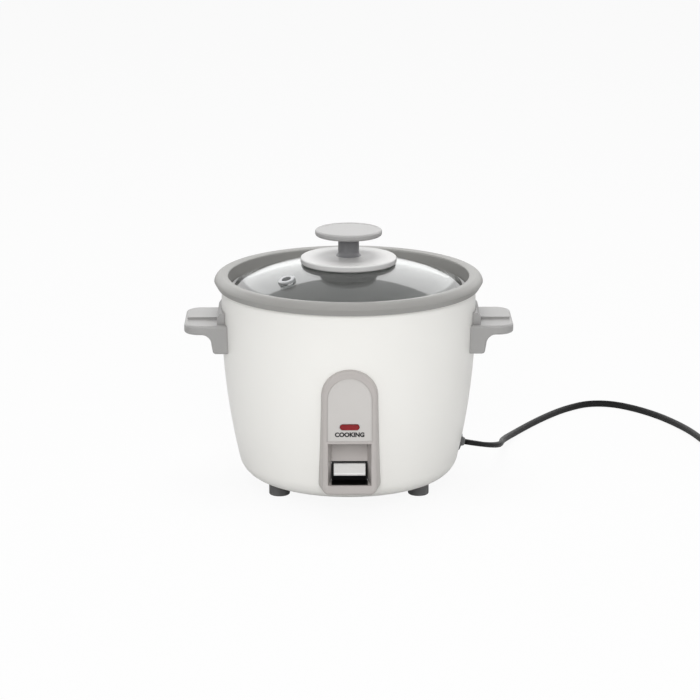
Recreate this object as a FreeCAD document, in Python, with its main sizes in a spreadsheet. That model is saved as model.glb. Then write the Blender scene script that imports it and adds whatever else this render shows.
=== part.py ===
# A small automatic rice cooker with a glass lid, a lift-out pan and a spring-loaded cooking switch.
# Millimetres, +Z up, front towards -Y, origin on the table under the middle of the shell.
import FreeCAD, Part
import math
import os
import types
import Sketcher

Vector = FreeCAD.Vector
Rotation = FreeCAD.Rotation

SIZES = {
    # Clearances
    "fit": 0.2,
    "running_gap": 0.3,
    "pin_gap": 0.05,
    # Outer shell
    "shell_radius": 90.2,
    "shell_widest_z": 126.5,
    "shell_side_radius": 460.0,
    "shell_corner_radius": 17.0,
    "shell_bottom_z": 8.6,
    "shell_top_z": 149.4,
    "shell_wall": 1.0,
    "base_opening_radius": 40.0,
    # Rim ring
    "ring_overhang": 4.9,
    "ring_lip_overhang": 2.4,
    "ring_lip_z": 145.7,
    "ring_widest_z": 150.0,
    "ring_top_z": 154.7,
    "ring_crest_inset": 0.2,
    "ring_outer_bend": 5.6,
    "ring_inner_inset": 5.0,
    "ring_inner_bend": 1.2,
    "ring_crest_slope": 0.6,
    "ring_ledge_z": 143.5,
    "ring_wall_inset": 6.2,
    "ring_ledge_inset": 9.4,
    "ring_bottom_z": 140.5,
    # Heat shield
    "shield_inset": 9.9,
    "shield_wall": 0.8,
    "shield_corner_radius": 34.0,
    "shield_floor_z": 38.0,
    "shield_flange_inset": 2.0,
    "shield_hole_radius": 24.5,
    # Inner pan
    "pan_top_gap": 2.1,
    "pan_low_gap": 3.7,
    "pan_wall": 1.5,
    "pan_bottom_z": 56.0,
    "pan_corner_radius": 20.0,
    "pan_flange_gap": 0.6,
    # Glass lid
    "glass_gap": 3.4,
    "glass_thickness": 4.0,
    "glass_edge_height": 1.8,
    "glass_edge_bend": 0.7,
    "glass_rise": 17.4,
    "lid_hole_radius": 4.0,
    "vent_circle": 55.6,
    "vent_angle": 219.0,
    "vent_flange_radius": 6.2,
    "vent_neck_radius": 4.2,
    "vent_hole_radius": 3.3,
    "vent_flange_height": 1.7,
    "vent_lower_radius": 5.4,
    # Lid saucer and knob
    "saucer_radius": 34.0,
    "saucer_edge_height": 4.5,
    "saucer_edge_bend": 1.3,
    "saucer_rise": 0.7,
    "saucer_lip": 3.0,
    "saucer_dish": 0.5,
    "saucer_gap": 0.5,
    "saucer_seat_radius": 8.0,
    "knob_radius": 23.6,
    "knob_top_z": 186.4,
    "knob_edge_height": 4.4,
    "knob_edge_bend": 1.6,
    "knob_under_rise": 1.0,
    "knob_lip": 1.2,
    "knob_dish": 0.4,
    "knob_spigot_radius": 5.0,
    "stem_radius": 7.4,
    "stem_foot_radius": 8.9,
    "stem_foot_bend": 4.0,
    "lid_screw_radius": 2.0,
    "lid_screw_length": 16.0,
    "lid_screw_head_radius": 4.0,
    "lid_screw_head_height": 2.4,
    "lid_washer_radius": 9.0,
    "lid_washer_height": 1.5,
    # Heater plate and element
    "heater_inset": 12.6,
    "heater_height": 9.0,
    "heater_edge_bend": 3.0,
    "heater_bore_radius": 17.5,
    "heater_leg_circle": 31.0,
    "heater_leg_radius": 5.0,
    "element_circle": 44.0,
    "element_radius": 3.2,
    "element_gap_angle": 16.0,
    "terminal_pin_radius": 2.0,
    "terminal_pin_length": 15.0,
    "terminal_hole_radius": 3.5,
    # Sensor and magnet
    "sensor_cap_radius": 16.6,
    "sensor_cap_wall": 1.0,
    "sensor_skirt_height": 15.5,
    "sensor_lip_radius": 18.2,
    "sensor_edge_bend": 1.0,
    "ferrite_radius": 12.0,
    "ferrite_height": 5.0,
    "holder_radius": 19.5,
    "holder_wall": 0.8,
    "holder_flange_radius": 23.0,
    "holder_bottom_z": 26.5,
    "sensor_spring_radius": 14.0,
    "sensor_spring_wire": 0.55,
    "sensor_spring_turns": 6,
    "magnet_radius": 10.0,
    "magnet_bore_radius": 5.0,
    "magnet_height": 5.0,
    "magnet_plate_height": 1.0,
    "magnet_rod_radius": 2.0,
    "magnet_spring_radius": 3.4,
    "magnet_spring_wire": 0.4,
    "magnet_spring_turns": 4,
    # Switch lever
    "lever_pivot_y": 32.0,
    "lever_pivot_z": 20.3,
    "lever_pin_radius": 1.5,
    "lever_knuckle_radius": 3.2,
    "lever_thickness": 2.0,
    "lever_width": 9.0,
    "lever_tip_y": 5.0,
    "lever_bend_y": 48.0,
    "lever_rise_y": 59.5,
    "lever_rise": 12.2,
    "lever_front_inset": 11.8,
    "lever_rod_gap": 0.5,
    "press_angle": 7.0,
    # Switch key
    "key_half_width": 10.9,
    "key_nose_inset": 6.9,
    "key_nose_z": 30.4,
    "key_nose_height": 1.7,
    "key_nose_lean": 0.6,
    "key_edge_bend": 0.7,
    "key_top_z": 37.0,
    "key_top_inset": 14.6,
    "key_back_inset": 22.8,
    "key_belly_inset": 14.8,
    "key_belly_drop": 1.4,
    # Lever bracket and micro switch
    "bracket_half_width": 9.0,
    "bracket_thickness": 1.2,
    "bracket_front_y": 57.5,
    "bracket_back_y": 26.0,
    "bracket_ear_half": 5.0,
    "bracket_ear_inside": 7.0,
    "bracket_ear_top": 4.0,
    "bracket_screw_x": 6.5,
    "bracket_screw_y": 54.5,
    "micro_half_width": 8.0,
    "micro_front_y": 51.0,
    "micro_back_y": 41.0,
    "micro_height": 6.4,
    "plunger_radius": 1.4,
    "plunger_depth": 3.0,
    # Base plate, feet and screws
    "base_radius": 48.5,
    "base_thickness": 1.0,
    "base_screw_circle": 44.3,
    "base_vent_circle": 24.0,
    "base_vent_radius": 3.0,
    "base_vent_count": 12,
    "foot_inset": 33.2,
    "foot_radius": 7.4,
    "foot_edge_bend": 1.2,
    "foot_stud_radius": 2.4,
    "foot_head_radius": 4.2,
    "foot_head_height": 1.6,
    "screw_radius": 1.5,
    "screw_head_radius": 2.8,
    "screw_head_height": 1.6,
    "screw_length": 5.0,
    "ring_screw_inset": 4.0,
    "ring_screw_head_radius": 2.2,
    # Handles
    "handle_overhang": 25.8,
    "handle_half_width": 29.5,
    "handle_ledge_bottom_z": 116.4,
    "handle_ledge_top_z": 123.0,
    "handle_base_bottom_z": 102.6,
    "handle_base_overhang": 5.2,
    "handle_waist_lean": 1.2,
    "handle_under_bend": 7.0,
    "handle_corner_radius": 11.0,
    "handle_edge_bend": 1.8,
    "handle_toe_bend": 2.2,
    "handle_root_depth": 10.2,
    "handle_pad_half_width": 8.5,
    "handle_pad_height": 1.6,
    "handle_pad_inset": 2.0,
    "handle_gusset_overhang": 2.6,
    "handle_gusset_shoulder_z": 127.6,
    "handle_gusset_top_z": 130.8,
    "handle_gusset_top_overhang": 0.4,
    "handle_gusset_half_width": 24.0,
    "handle_screw_low_z": 106.0,
    "handle_screw_high_z": 119.0,
    "handle_screw_length": 4.5,
    # Switch panel
    "panel_overhang": 1.6,
    "panel_half_width": 18.7,
    "panel_bottom_z": 18.6,
    "panel_top_z": 107.3,
    "panel_corner_radius": 5.0,
    "panel_draft_angle": 10.0,
    "panel_depth": 22.0,
    "panel_edge_bend": 2.6,
    "plate_half_width": 15.2,
    "plate_bottom_z": 56.8,
    "plate_top_z": 101.4,
    "plate_thickness": 0.8,
    "plate_inset": 0.7,
    "recess_half_width": 15.0,
    "recess_top_z": 55.3,
    "recess_depth": 14.8,
    "recess_back_top_z": 51.0,
    "recess_wall": 1.5,
    "sill_top_z": 25.2,
    "sill_wall": 2.2,
    "lens_half_length": 6.7,
    "lens_half_height": 2.0,
    "lens_z": 67.1,
    "lens_proud": 0.5,
    "lens_length": 4.2,
    "bulb_radius": 2.0,
    "bulb_length": 12.0,
    "bulb_inset": 5.6,
    "lamp_holder_wall": 1.2,
    "panel_screw_x": 11.0,
    "panel_screw_z": 59.6,
    # Switch surround
    "opening_half_width": 11.4,
    "opening_low_z": 22.0,
    "opening_high_z": 37.6,
    "surround_wall": 1.0,
    "surround_depth": 25.8,
    "surround_slot_half": 6.0,
    "surround_slot_low_z": 25.0,
    "surround_slot_high_z": 36.4,
    # Supply: grommet, terminal block, fuse
    "grommet_angle": 10.0,
    "grommet_z": 27.0,
    "grommet_flange_radius": 7.0,
    "grommet_flange_height": 2.5,
    "grommet_nose_radius": 4.2,
    "grommet_nose_length": 6.0,
    "grommet_neck_radius": 4.6,
    "grommet_barb_radius": 5.8,
    "grommet_barb_length": 6.0,
    "block_inner": 37.0,
    "block_outer": 49.0,
    "block_half_width": 9.5,
    "block_height": 13.0,
    "inner_cord_radius": 2.2,
    "inner_cord_overlap": 1.0,
    "fuse_radius": 2.0,
    "fuse_length": 14.0,
    "fuse_y": 34.0,
    # Power cord, coil, tie and plug
    "cord_radius": 2.6,
    "cord_first_run": 12.0,
    "cord_last_run": 24.0,
    "coil_centre_x": 303.0,
    "coil_centre_y": 75.0,
    "coil_z": 4.2,
    "coil_start_angle": 190.0,
    "coil_outer_radius": 31.7,
    "coil_pitch": 5.9,
    "coil_layer_step": 5.9,
    "coil_layer_turns": 1.5,
    "coil_climb_turns": 0.5,
    "coil_tail": 14.0,
    "tie_angle": 280.0,
    "tie_turn": 0.25,
    "tie_thickness": 1.0,
    "tie_half_width": 3.0,
    "plug_length": 25.0,
    "plug_half_height": 9.6,
    "plug_half_width": 7.5,
    "plug_edge_bend": 3.0,
    "plug_boot_radius": 5.2,
    "plug_boot_length": 9.0,
    "blade_spacing": 12.7,
    "blade_width": 6.35,
    "blade_thickness": 1.5,
    "blade_length": 16.0,
}

# Angles of what repeats round the upright axis
FOOT_ANGLES = {"foot_front_right": -30.0, "foot_rear": 90.0, "foot_front_left": 210.0}
BASE_SCREW_ANGLES = (90.0, 210.0, 330.0)
HEATER_LEG_ANGLES = (70.0, 190.0, 310.0)
RING_SCREW_ANGLES = (90.0, 210.0, 330.0)

# Where the free cord lies between its first run out of the grommet and its last run into the coil
CORD_POINTS = (
    (104.5, 23.0, 20.5),
    (110.5, 33.0, 18.0),
    (113.0, 48.0, 14.8),
    (114.5, 67.0, 10.6),
    (118.0, 88.0, 6.4),
    (125.0, 109.0, 3.6),
    (136.0, 131.0, 2.8),
    (150.0, 154.0, 2.8),
    (166.0, 176.5, 2.8),
    (180.0, 190.5, 2.8),
    (190.5, 197.5, 2.8),
    (203.0, 198.5, 2.8),
    (215.0, 193.5, 2.8),
    (228.5, 181.0, 2.8),
    (242.0, 163.0, 2.8),
    (253.0, 141.0, 3.0),
    (261.5, 117.0, 3.6),
)


class Size:
    """A size from the sheet, or one worked out from such sizes: its formula and its value."""

    def __init__(self, formula, value):
        self.formula = formula
        self.value = value

    def __add__(self, other):
        other = as_size(other)
        return Size(f"({self.formula} + {other.formula})", self.value + other.value)

    def __sub__(self, other):
        other = as_size(other)
        return Size(f"({self.formula} - {other.formula})", self.value - other.value)

    def __mul__(self, other):
        other = as_size(other)
        return Size(f"({self.formula} * {other.formula})", self.value * other.value)

    def __truediv__(self, other):
        other = as_size(other)
        return Size(f"({self.formula} / {other.formula})", self.value / other.value)

    def __neg__(self):
        return Size(f"(-1 * {self.formula})", -self.value)

    def __rsub__(self, other):
        return as_size(other) - self

    __radd__ = __add__
    __rmul__ = __mul__


def as_size(number):
    """A plain number as a size; a size stays as it is."""
    if isinstance(number, Size):
        return number
    return Size(f"({float(number):.9f})", float(number))


def square(size):
    return size * size


def root(size):
    return Size(f"sqrt({size.formula})", math.sqrt(size.value))


def cosine(angle):
    return Size(f"cos({angle.formula})", math.cos(math.radians(angle.value)))


def sine(angle):
    return Size(f"sin({angle.formula})", math.sin(math.radians(angle.value)))


def polar(radius, angle):
    """The x and y of a point on a circle about the upright axis."""
    angle = as_size(angle)
    return radius * cosine(angle), radius * sine(angle)


doc = FreeCAD.newDocument("rice_cooker")
sheet = doc.addObject("Spreadsheet::Sheet", "Sizes")
for row, (size_name, number) in enumerate(SIZES.items(), start=1):
    sheet.set(f"A{row}", size_name)
    sheet.set(f"B{row}", str(number))
    sheet.setAlias(f"B{row}", size_name)
doc.recompute()
S = types.SimpleNamespace(**{name: Size(f"Sizes.{name}", float(number)) for name, number in SIZES.items()})

# Radii and depths that follow the shell and keep a named distance from it or from each other
S.ring_radius = S.shell_radius + S.ring_overhang
S.ring_lip_radius = S.shell_radius + S.ring_lip_overhang
S.ring_crest_radius = S.shell_radius - S.ring_crest_inset
S.ring_inner_radius = S.shell_radius - S.ring_inner_inset
S.ring_wall_radius = S.shell_radius - S.ring_wall_inset
S.ring_ledge_radius = S.shell_radius - S.ring_ledge_inset
S.ring_screw_circle = S.shell_radius - S.ring_screw_inset
S.shield_radius = S.shell_radius - S.shield_inset
S.shield_flange_radius = S.shell_radius - S.shield_flange_inset
S.pan_top_radius = S.shield_radius - S.pan_top_gap
S.pan_low_radius = S.shield_radius - S.pan_low_gap
S.pan_flange_radius = S.ring_wall_radius - S.pan_flange_gap
S.glass_radius = S.ring_wall_radius - S.glass_gap
S.heater_radius = S.pan_low_radius - S.heater_inset
S.foot_circle = S.shell_radius - S.foot_inset
S.handle_root = S.shell_radius - S.handle_root_depth
S.handle_reach = S.shell_radius + S.handle_overhang
S.handle_base_reach = S.shell_radius + S.handle_base_overhang
S.handle_waist_reach = S.handle_base_reach + S.handle_waist_lean
S.handle_gusset_reach = S.shell_radius + S.handle_gusset_overhang
S.handle_gusset_top_reach = S.shell_radius + S.handle_gusset_top_overhang
S.panel_front = S.shell_radius + S.panel_overhang
S.bulb_back = S.shell_radius - S.bulb_inset
S.surround_back = S.panel_front - S.surround_depth
S.lever_front_y = S.panel_front - S.lever_front_inset
S.key_nose_y = S.panel_front - S.key_nose_inset
S.key_top_y = S.panel_front - S.key_top_inset
S.key_belly_y = S.panel_front - S.key_belly_inset
S.key_back_y = S.panel_front - S.key_back_inset

UP = Vector(0, 0, 1)
TO_X = Rotation(UP, Vector(1, 0, 0))
TO_MINUS_X = Rotation(UP, Vector(-1, 0, 0))
TO_FRONT = Rotation(UP, Vector(0, -1, 0))
PIECES = []


# Ways of making a solid


def piece(label, solid):
    """Name a finished object as one of the cooker's pieces."""
    solid.Label = label
    PIECES.append(solid)
    return solid


def bind(target, **sizes):
    """Tie an object's sizes to the sheet."""
    for name, size in sizes.items():
        target.setExpression(name, as_size(size).formula)


def place(target, x=0, y=0, z=0, turn=Rotation()):
    """Put an object at a point that is tied to the sheet, turned by a rotation."""
    point = [as_size(value) for value in (x, y, z)]
    target.Placement = FreeCAD.Placement(Vector(*[value.value for value in point]), turn)
    for axis, value in zip("xyz", point):
        target.setExpression(f"Placement.Base.{axis}", value.formula)
    return target


def box(name, low, high):
    """A block between two opposite corners."""
    block = doc.addObject("Part::Box", name)
    span = [as_size(top) - as_size(bottom) for bottom, top in zip(low, high)]
    bind(block, Length=span[0], Width=span[1], Height=span[2])
    return place(block, *low)


def cylinder(name, radius, length, at=(0, 0, 0), turn=Rotation()):
    """A rod that starts at a point and runs along the turned upright axis."""
    rod = doc.addObject("Part::Cylinder", name)
    bind(rod, Radius=radius, Height=length)
    return place(rod, *at, turn)


def joined(name, *solids):
    """Several solids made one."""
    fuse = doc.addObject("Part::MultiFuse", name)
    fuse.Shapes = list(solids)
    return fuse


def grouped(name, solids):
    """Several separate solids kept together."""
    group = doc.addObject("Part::Compound", name)
    group.Links = list(solids)
    return group


def cut(name, base, *tools):
    """A solid with one or more others taken out of it."""
    result = doc.addObject("Part::Cut", name)
    result.Base = base
    result.Tool = tools[0] if len(tools) == 1 else joined(f"{name}_tools", *tools)
    return result


def arc_between(first, last, radius):
    """The short arc from one corner to the next: counter-clockwise when the radius is positive."""
    chord = last - first
    lift = math.sqrt(max(radius * radius - chord.Length ** 2 / 4.0, 0.0))
    left = Vector(-chord.y, chord.x, 0).normalize()
    centre = (first + last) * 0.5 + left * (lift if radius > 0 else -lift)
    ends = (first, last) if radius > 0 else (last, first)
    angles = [math.atan2(end.y - centre.y, end.x - centre.x) for end in ends]
    return Part.ArcOfCircle(Part.Circle(centre, UP, abs(radius)), *angles)


def outline_sketch(body, plane, outline, forward=None):
    """A closed outline on one of the body's own planes.

    Each corner is (across, up), and a third entry bends the side to the next corner to that radius.
    forward moves the outline along the plane's normal.
    """
    sketch = body.newObject("Sketcher::SketchObject", f"{body.Name}_outline")
    support = next(item for item in body.Origin.OriginFeatures if item.Role == plane)
    sketch.AttachmentSupport = [(support, "")]
    sketch.MapMode = "FlatFace"
    if forward is not None:
        sketch.setExpression("AttachmentOffset.Base.z", forward.formula)
    corners = [(as_size(corner[0]), as_size(corner[1])) for corner in outline]
    bends = [as_size(corner[2]) if len(corner) > 2 else None for corner in outline]
    points = [Vector(across.value, up.value, 0) for across, up in corners]
    starts = []
    for index, bend in enumerate(bends):
        last = points[(index + 1) % len(points)]
        if bend is None:
            sketch.addGeometry(Part.LineSegment(points[index], last))
        else:
            sketch.addGeometry(arc_between(points[index], last, bend.value))
        starts.append(2 if bend is not None and bend.value < 0 else 1)
    for index, start in enumerate(starts):
        before = (index - 1) % len(starts)
        end_before = 3 - starts[before]
        sketch.addConstraint(Sketcher.Constraint("Coincident", before, end_before, index, start))
    for index, start in enumerate(starts):
        for axis, kind, line in ((0, "DistanceX", -2), (1, "DistanceY", -1)):
            size = corners[index][axis]
            if size.value == 0:
                sketch.addConstraint(Sketcher.Constraint("PointOnObject", index, start, line))
                continue
            number = sketch.addConstraint(Sketcher.Constraint(kind, -1, 1, index, start, size.value))
            sketch.renameConstraint(number, f"{kind}{index}")
            sketch.setExpression(f"Constraints.{kind}{index}", size.formula)
        if bends[index] is not None:
            radius = bends[index] if bends[index].value > 0 else -bends[index]
            number = sketch.addConstraint(Sketcher.Constraint("Radius", index, radius.value))
            sketch.renameConstraint(number, f"Bend{index}")
            sketch.setExpression(f"Constraints.Bend{index}", radius.formula)
    return sketch


def turned(name, outline):
    """A body of revolution about the upright axis, from (radius, height) corners."""
    body = doc.addObject("PartDesign::Body", name)
    profile = outline_sketch(body, "XZ_Plane", outline)
    turn = body.newObject("PartDesign::Revolution", f"{name}_turn")
    turn.Profile = profile
    turn.ReferenceAxis = (profile, ["V_Axis"])
    turn.Angle = 360
    return body


def extruded(name, plane, outline, length):
    """A body of even section, lying equally to both sides of one of its own planes."""
    body = doc.addObject("PartDesign::Body", name)
    add_pad(body, plane, outline, length)
    return body


def add_pad(body, plane, outline, length):
    """One more pad on a body, symmetric about one of its own planes."""
    pad = body.newObject("PartDesign::Pad", f"{body.Name}_pad")
    pad.Profile = outline_sketch(body, plane, outline)
    pad.SideType = "Symmetric"
    bind(pad, Length=length)
    return pad


def front_prism(name, outline, front, depth, draft=None):
    """A body whose outline, seen from the front, lies at a distance before the axis and runs inwards."""
    body = doc.addObject("PartDesign::Body", name)
    pad = body.newObject("PartDesign::Pad", f"{name}_pad")
    pad.Profile = outline_sketch(body, "XZ_Plane", outline, front)
    pad.Reversed = True
    bind(pad, Length=depth)
    if draft is not None:
        bind(pad, TaperAngle=draft)
    return body


def rounded(body, radius, wanted):
    """Round the edges of a body that a test picks by their midpoints and directions."""
    doc.recompute()
    tip = body.Tip
    names = []
    for number, edge in enumerate(tip.Shape.Edges, start=1):
        middle = edge.valueAt((edge.FirstParameter + edge.LastParameter) / 2.0)
        along = edge.tangentAt((edge.FirstParameter + edge.LastParameter) / 2.0)
        if wanted(middle, along):
            names.append(f"Edge{number}")
    fillet = body.newObject("PartDesign::Fillet", f"{body.Name}_rounding")
    fillet.Base = (tip, names)
    bind(fillet, Radius=radius)
    return body


def same(first, second):
    """Whether two lengths agree."""
    return abs(first - second) < 1e-4


def backwards(corners):
    """A run of bent corners walked from its end to its start."""
    walked = []
    for index in range(len(corners) - 1, -1, -1):
        bend = corners[index - 1][2] if index > 0 and len(corners[index - 1]) > 2 else None
        walked.append(corners[index][:2] if bend is None else (*corners[index][:2], -bend))
    return walked


def screw(name, at, turn=Rotation(), head_radius=None, length=None):
    """A pan-head screw: its head's top lies at a point and its shank runs along the turned upright axis."""
    head = head_radius or S.screw_head_radius
    length = length or S.screw_length
    body = turned(name, [
        (0, 0),
        (head, 0),
        (head, S.screw_head_height),
        (S.screw_radius, S.screw_head_height),
        (S.screw_radius, S.screw_head_height + length),
        (0, S.screw_head_height + length),
    ])
    return place(body, *at, turn)


# Outer shell


def shell_side(inset, top):
    """The shell's side from its flat bottom up to a height, moved inwards by an inset."""
    corner_z = S.shell_bottom_z + S.shell_corner_radius
    side_middle = S.shell_radius - S.shell_side_radius
    between = S.shell_side_radius - S.shell_corner_radius
    reach = root(square(between) - square(S.shell_widest_z - corner_z))
    side = S.shell_side_radius - inset
    share = side / between
    top_reach = root(square(side) - square(top - S.shell_widest_z))
    return [
        (side_middle + reach, S.shell_bottom_z + inset, S.shell_corner_radius - inset),
        (side_middle + reach * share, S.shell_widest_z - (S.shell_widest_z - corner_z) * share, side),
        (side_middle + top_reach, top),
    ]


def shell_radius_at(height, inset=0):
    """The shell's radius at a height on its long side arc."""
    reach = root(square(S.shell_side_radius - inset) - square(height - S.shell_widest_z))
    return S.shell_radius - S.shell_side_radius + reach


def shell_envelope(name):
    """Everything inside the shell's outer face, with the fit that its fittings keep from it."""
    side = shell_side(-S.fit, S.shell_top_z)
    return turned(name, side + [(0, S.shell_top_z), (0, S.shell_bottom_z - S.fit)])


def grommet_frame():
    """Where the cord leaves: a point on the shell's face, its outward normal, and the turn that faces it."""
    dip = (S.shell_widest_z - S.grommet_z) / S.shell_side_radius
    level = root(1 - square(dip))
    across, back = polar(shell_radius_at(S.grommet_z), S.grommet_angle)
    out_x, out_y = polar(level, S.grommet_angle)
    normal = (out_x, out_y, -dip)
    facing = Rotation(UP, Vector(*[part.value for part in normal]))
    return (across, back, S.grommet_z), normal, facing


def along(point, direction, distance):
    """A point moved a distance along a direction."""
    return tuple(start + step * distance for start, step in zip(point, direction))


def outer_shell():
    outer = shell_side(as_size(0), S.shell_top_z)
    inner = shell_side(S.shell_wall, S.shell_top_z)
    flange_top = S.shell_bottom_z + S.shell_wall
    blank = turned("shell_blank", outer + backwards(inner) + [
        (S.base_opening_radius, flange_top),
        (S.base_opening_radius, S.shell_bottom_z),
    ])
    window_half = S.recess_half_width + S.recess_wall - S.fit
    tools = [
        box("switch_window",
            (-window_half, -S.panel_front, neck_bottom() - S.fit),
            (window_half, -S.surround_back, S.recess_top_z + S.recess_wall + S.fit)),
        box("lamp_window",
            (-lamp_holder_half(), -S.panel_front, S.lens_z - lamp_holder_rise() - S.fit),
            (lamp_holder_half(), -S.shield_radius, S.lens_z + lamp_holder_rise() + S.fit)),
    ]
    for index, height in enumerate((S.handle_screw_low_z, S.handle_screw_high_z)):
        start = (-S.handle_reach, 0, height)
        reach = S.handle_reach * 2
        tools.append(cylinder(f"handle_hole_{index}", S.screw_radius + S.fit, reach, start, TO_X))
    for index, side in enumerate((-1, 1)):
        start = (S.panel_screw_x * side, -S.shield_radius, S.panel_screw_z)
        reach = S.panel_front - S.shield_radius
        tools.append(cylinder(f"panel_hole_{index}", S.screw_radius + S.fit, reach, start, TO_FRONT))
        start = (S.bracket_screw_x * side, -S.bracket_screw_y, S.shell_bottom_z)
        tools.append(cylinder(f"bracket_hole_{index}", S.screw_radius + S.fit, S.shell_wall, start))
    for index, angle in enumerate(FOOT_ANGLES.values()):
        start = (*polar(S.foot_circle, angle), S.shell_bottom_z)
        tools.append(cylinder(f"foot_hole_{index}", S.foot_stud_radius + S.fit, S.shell_wall, start))
    for index, angle in enumerate(BASE_SCREW_ANGLES):
        start = (*polar(S.base_screw_circle, angle), S.shell_bottom_z)
        tools.append(cylinder(f"base_hole_{index}", S.screw_radius + S.fit, S.shell_wall, start))
    point, normal, facing = grommet_frame()
    inside = along(point, normal, -S.grommet_barb_length)
    length = S.grommet_barb_length + S.grommet_nose_length
    tools.append(cylinder("cord_hole", S.grommet_neck_radius + S.fit, length, inside, facing))
    piece("outer_shell", cut("outer_shell", blank, *tools))


def rim_ring():
    groove_inner = shell_radius_at(S.ring_lip_z, S.shell_wall) - S.running_gap
    groove_outer = shell_radius_at(S.ring_lip_z) + S.fit
    groove_top = S.shell_top_z + S.running_gap
    crest_inner = S.ring_inner_radius + S.ring_inner_bend
    blank = turned("ring_blank", [
        (groove_outer, S.ring_lip_z),
        (S.ring_lip_radius, S.ring_lip_z),
        (S.ring_radius, S.ring_widest_z, S.ring_outer_bend),
        (S.ring_crest_radius, S.ring_top_z),
        (crest_inner, S.ring_top_z - S.ring_crest_slope, S.ring_inner_bend),
        (S.ring_inner_radius, S.ring_top_z - S.ring_crest_slope - S.ring_inner_bend),
        (S.ring_wall_radius, S.ring_ledge_z),
        (S.ring_ledge_radius, S.ring_ledge_z),
        (S.ring_ledge_radius, S.ring_bottom_z),
        (groove_inner, S.ring_bottom_z),
        (groove_inner, groove_top),
        (groove_outer, groove_top),
    ])
    holes = []
    for index, angle in enumerate(RING_SCREW_ANGLES):
        start = (*polar(S.ring_screw_circle, angle), S.ring_bottom_z)
        holes.append(cylinder(f"ring_hole_{index}", S.screw_radius, S.screw_length + S.fit, start))
    piece("rim_ring", cut("rim_ring", blank, *holes))


def heat_shield():
    corner = S.shield_corner_radius
    corner_r = S.shield_radius - corner
    inside = S.shield_radius - S.shield_wall
    blank = turned("shield_blank", [
        (S.shield_hole_radius, S.shield_floor_z),
        (corner_r, S.shield_floor_z, corner),
        (S.shield_radius, S.shield_floor_z + corner),
        (S.shield_radius, S.ring_bottom_z - S.shield_wall),
        (S.shield_flange_radius, S.ring_bottom_z - S.shield_wall),
        (S.shield_flange_radius, S.ring_bottom_z),
        (inside, S.ring_bottom_z),
        (inside, S.shield_floor_z + corner, S.shield_wall - corner),
        (corner_r, S.shield_floor_z + S.shield_wall),
        (S.shield_hole_radius, S.shield_floor_z + S.shield_wall),
    ])
    holes = []
    for index, angle in enumerate(RING_SCREW_ANGLES):
        start = (*polar(S.ring_screw_circle, angle), S.ring_bottom_z - S.shield_wall)
        holes.append(cylinder(f"flange_hole_{index}", S.screw_radius + S.fit, S.shield_wall, start))
    for index, angle in enumerate(HEATER_LEG_ANGLES):
        start = (*polar(S.heater_leg_circle, angle), S.shield_floor_z)
        holes.append(cylinder(f"leg_hole_{index}", S.screw_radius + S.fit, S.shield_wall, start))
    for index, angle in enumerate(terminal_angles()):
        start = (*polar(S.element_circle, angle), S.shield_floor_z)
        reach = heater_bottom() - S.shield_floor_z
        holes.append(cylinder(f"terminal_hole_{index}", S.terminal_hole_radius, reach, start))
    piece("heat_shield", cut("heat_shield", blank, *holes))


# Base plate, feet and the screws of the shell


def base_plate():
    low = S.shell_bottom_z - S.base_thickness
    disc = cylinder("base_disc", S.base_radius, S.base_thickness, (0, 0, low))
    holes = []
    for index, angle in enumerate(BASE_SCREW_ANGLES):
        start = (*polar(S.base_screw_circle, angle), low)
        holes.append(cylinder(f"plate_hole_{index}", S.screw_radius + S.fit, S.base_thickness, start))
    count = int(S.base_vent_count.value)
    for index in range(count):
        start = (*polar(S.base_vent_circle, 360.0 * index / count), low)
        holes.append(cylinder(f"base_vent_{index}", S.base_vent_radius, S.base_thickness, start))
    piece("base_plate", cut("base_plate", disc, *holes))


def feet():
    stud_top = S.shell_bottom_z + S.shell_wall + S.fit
    for label, angle in FOOT_ANGLES.items():
        foot = turned(label, [
            (0, 0),
            (S.foot_radius - S.foot_edge_bend, 0, S.foot_edge_bend),
            (S.foot_radius, S.foot_edge_bend),
            (S.foot_radius, S.shell_bottom_z),
            (S.foot_stud_radius, S.shell_bottom_z),
            (S.foot_stud_radius, stud_top),
            (S.foot_head_radius, stud_top),
            (S.foot_stud_radius, stud_top + S.foot_head_height),
            (0, stud_top + S.foot_head_height),
        ])
        piece(label, place(foot, *polar(S.foot_circle, angle)))


def shell_screws():
    heads_z = S.shell_bottom_z - S.base_thickness - S.screw_head_height
    base = [screw(f"base_screw_{index}", (*polar(S.base_screw_circle, angle), heads_z))
            for index, angle in enumerate(BASE_SCREW_ANGLES)]
    piece("base_screws", grouped("base_screws", base))
    heads_z = S.ring_bottom_z - S.shield_wall - S.screw_head_height
    ring = [screw(f"ring_screw_{index}", (*polar(S.ring_screw_circle, angle), heads_z),
                  head_radius=S.ring_screw_head_radius)
            for index, angle in enumerate(RING_SCREW_ANGLES)]
    piece("ring_screws", grouped("ring_screws", ring))
    handle = []
    for side, turn in ((1, TO_X), (-1, TO_MINUS_X)):
        for height in (S.handle_screw_low_z, S.handle_screw_high_z):
            seat = shell_radius_at(height, S.shell_wall) - S.fit - S.screw_head_height
            handle.append(screw(f"handle_screw_{len(handle)}", (seat * side, 0, height), turn,
                                length=S.handle_screw_length))
    piece("handle_screws", grouped("handle_screws", handle))


# Handles


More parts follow.
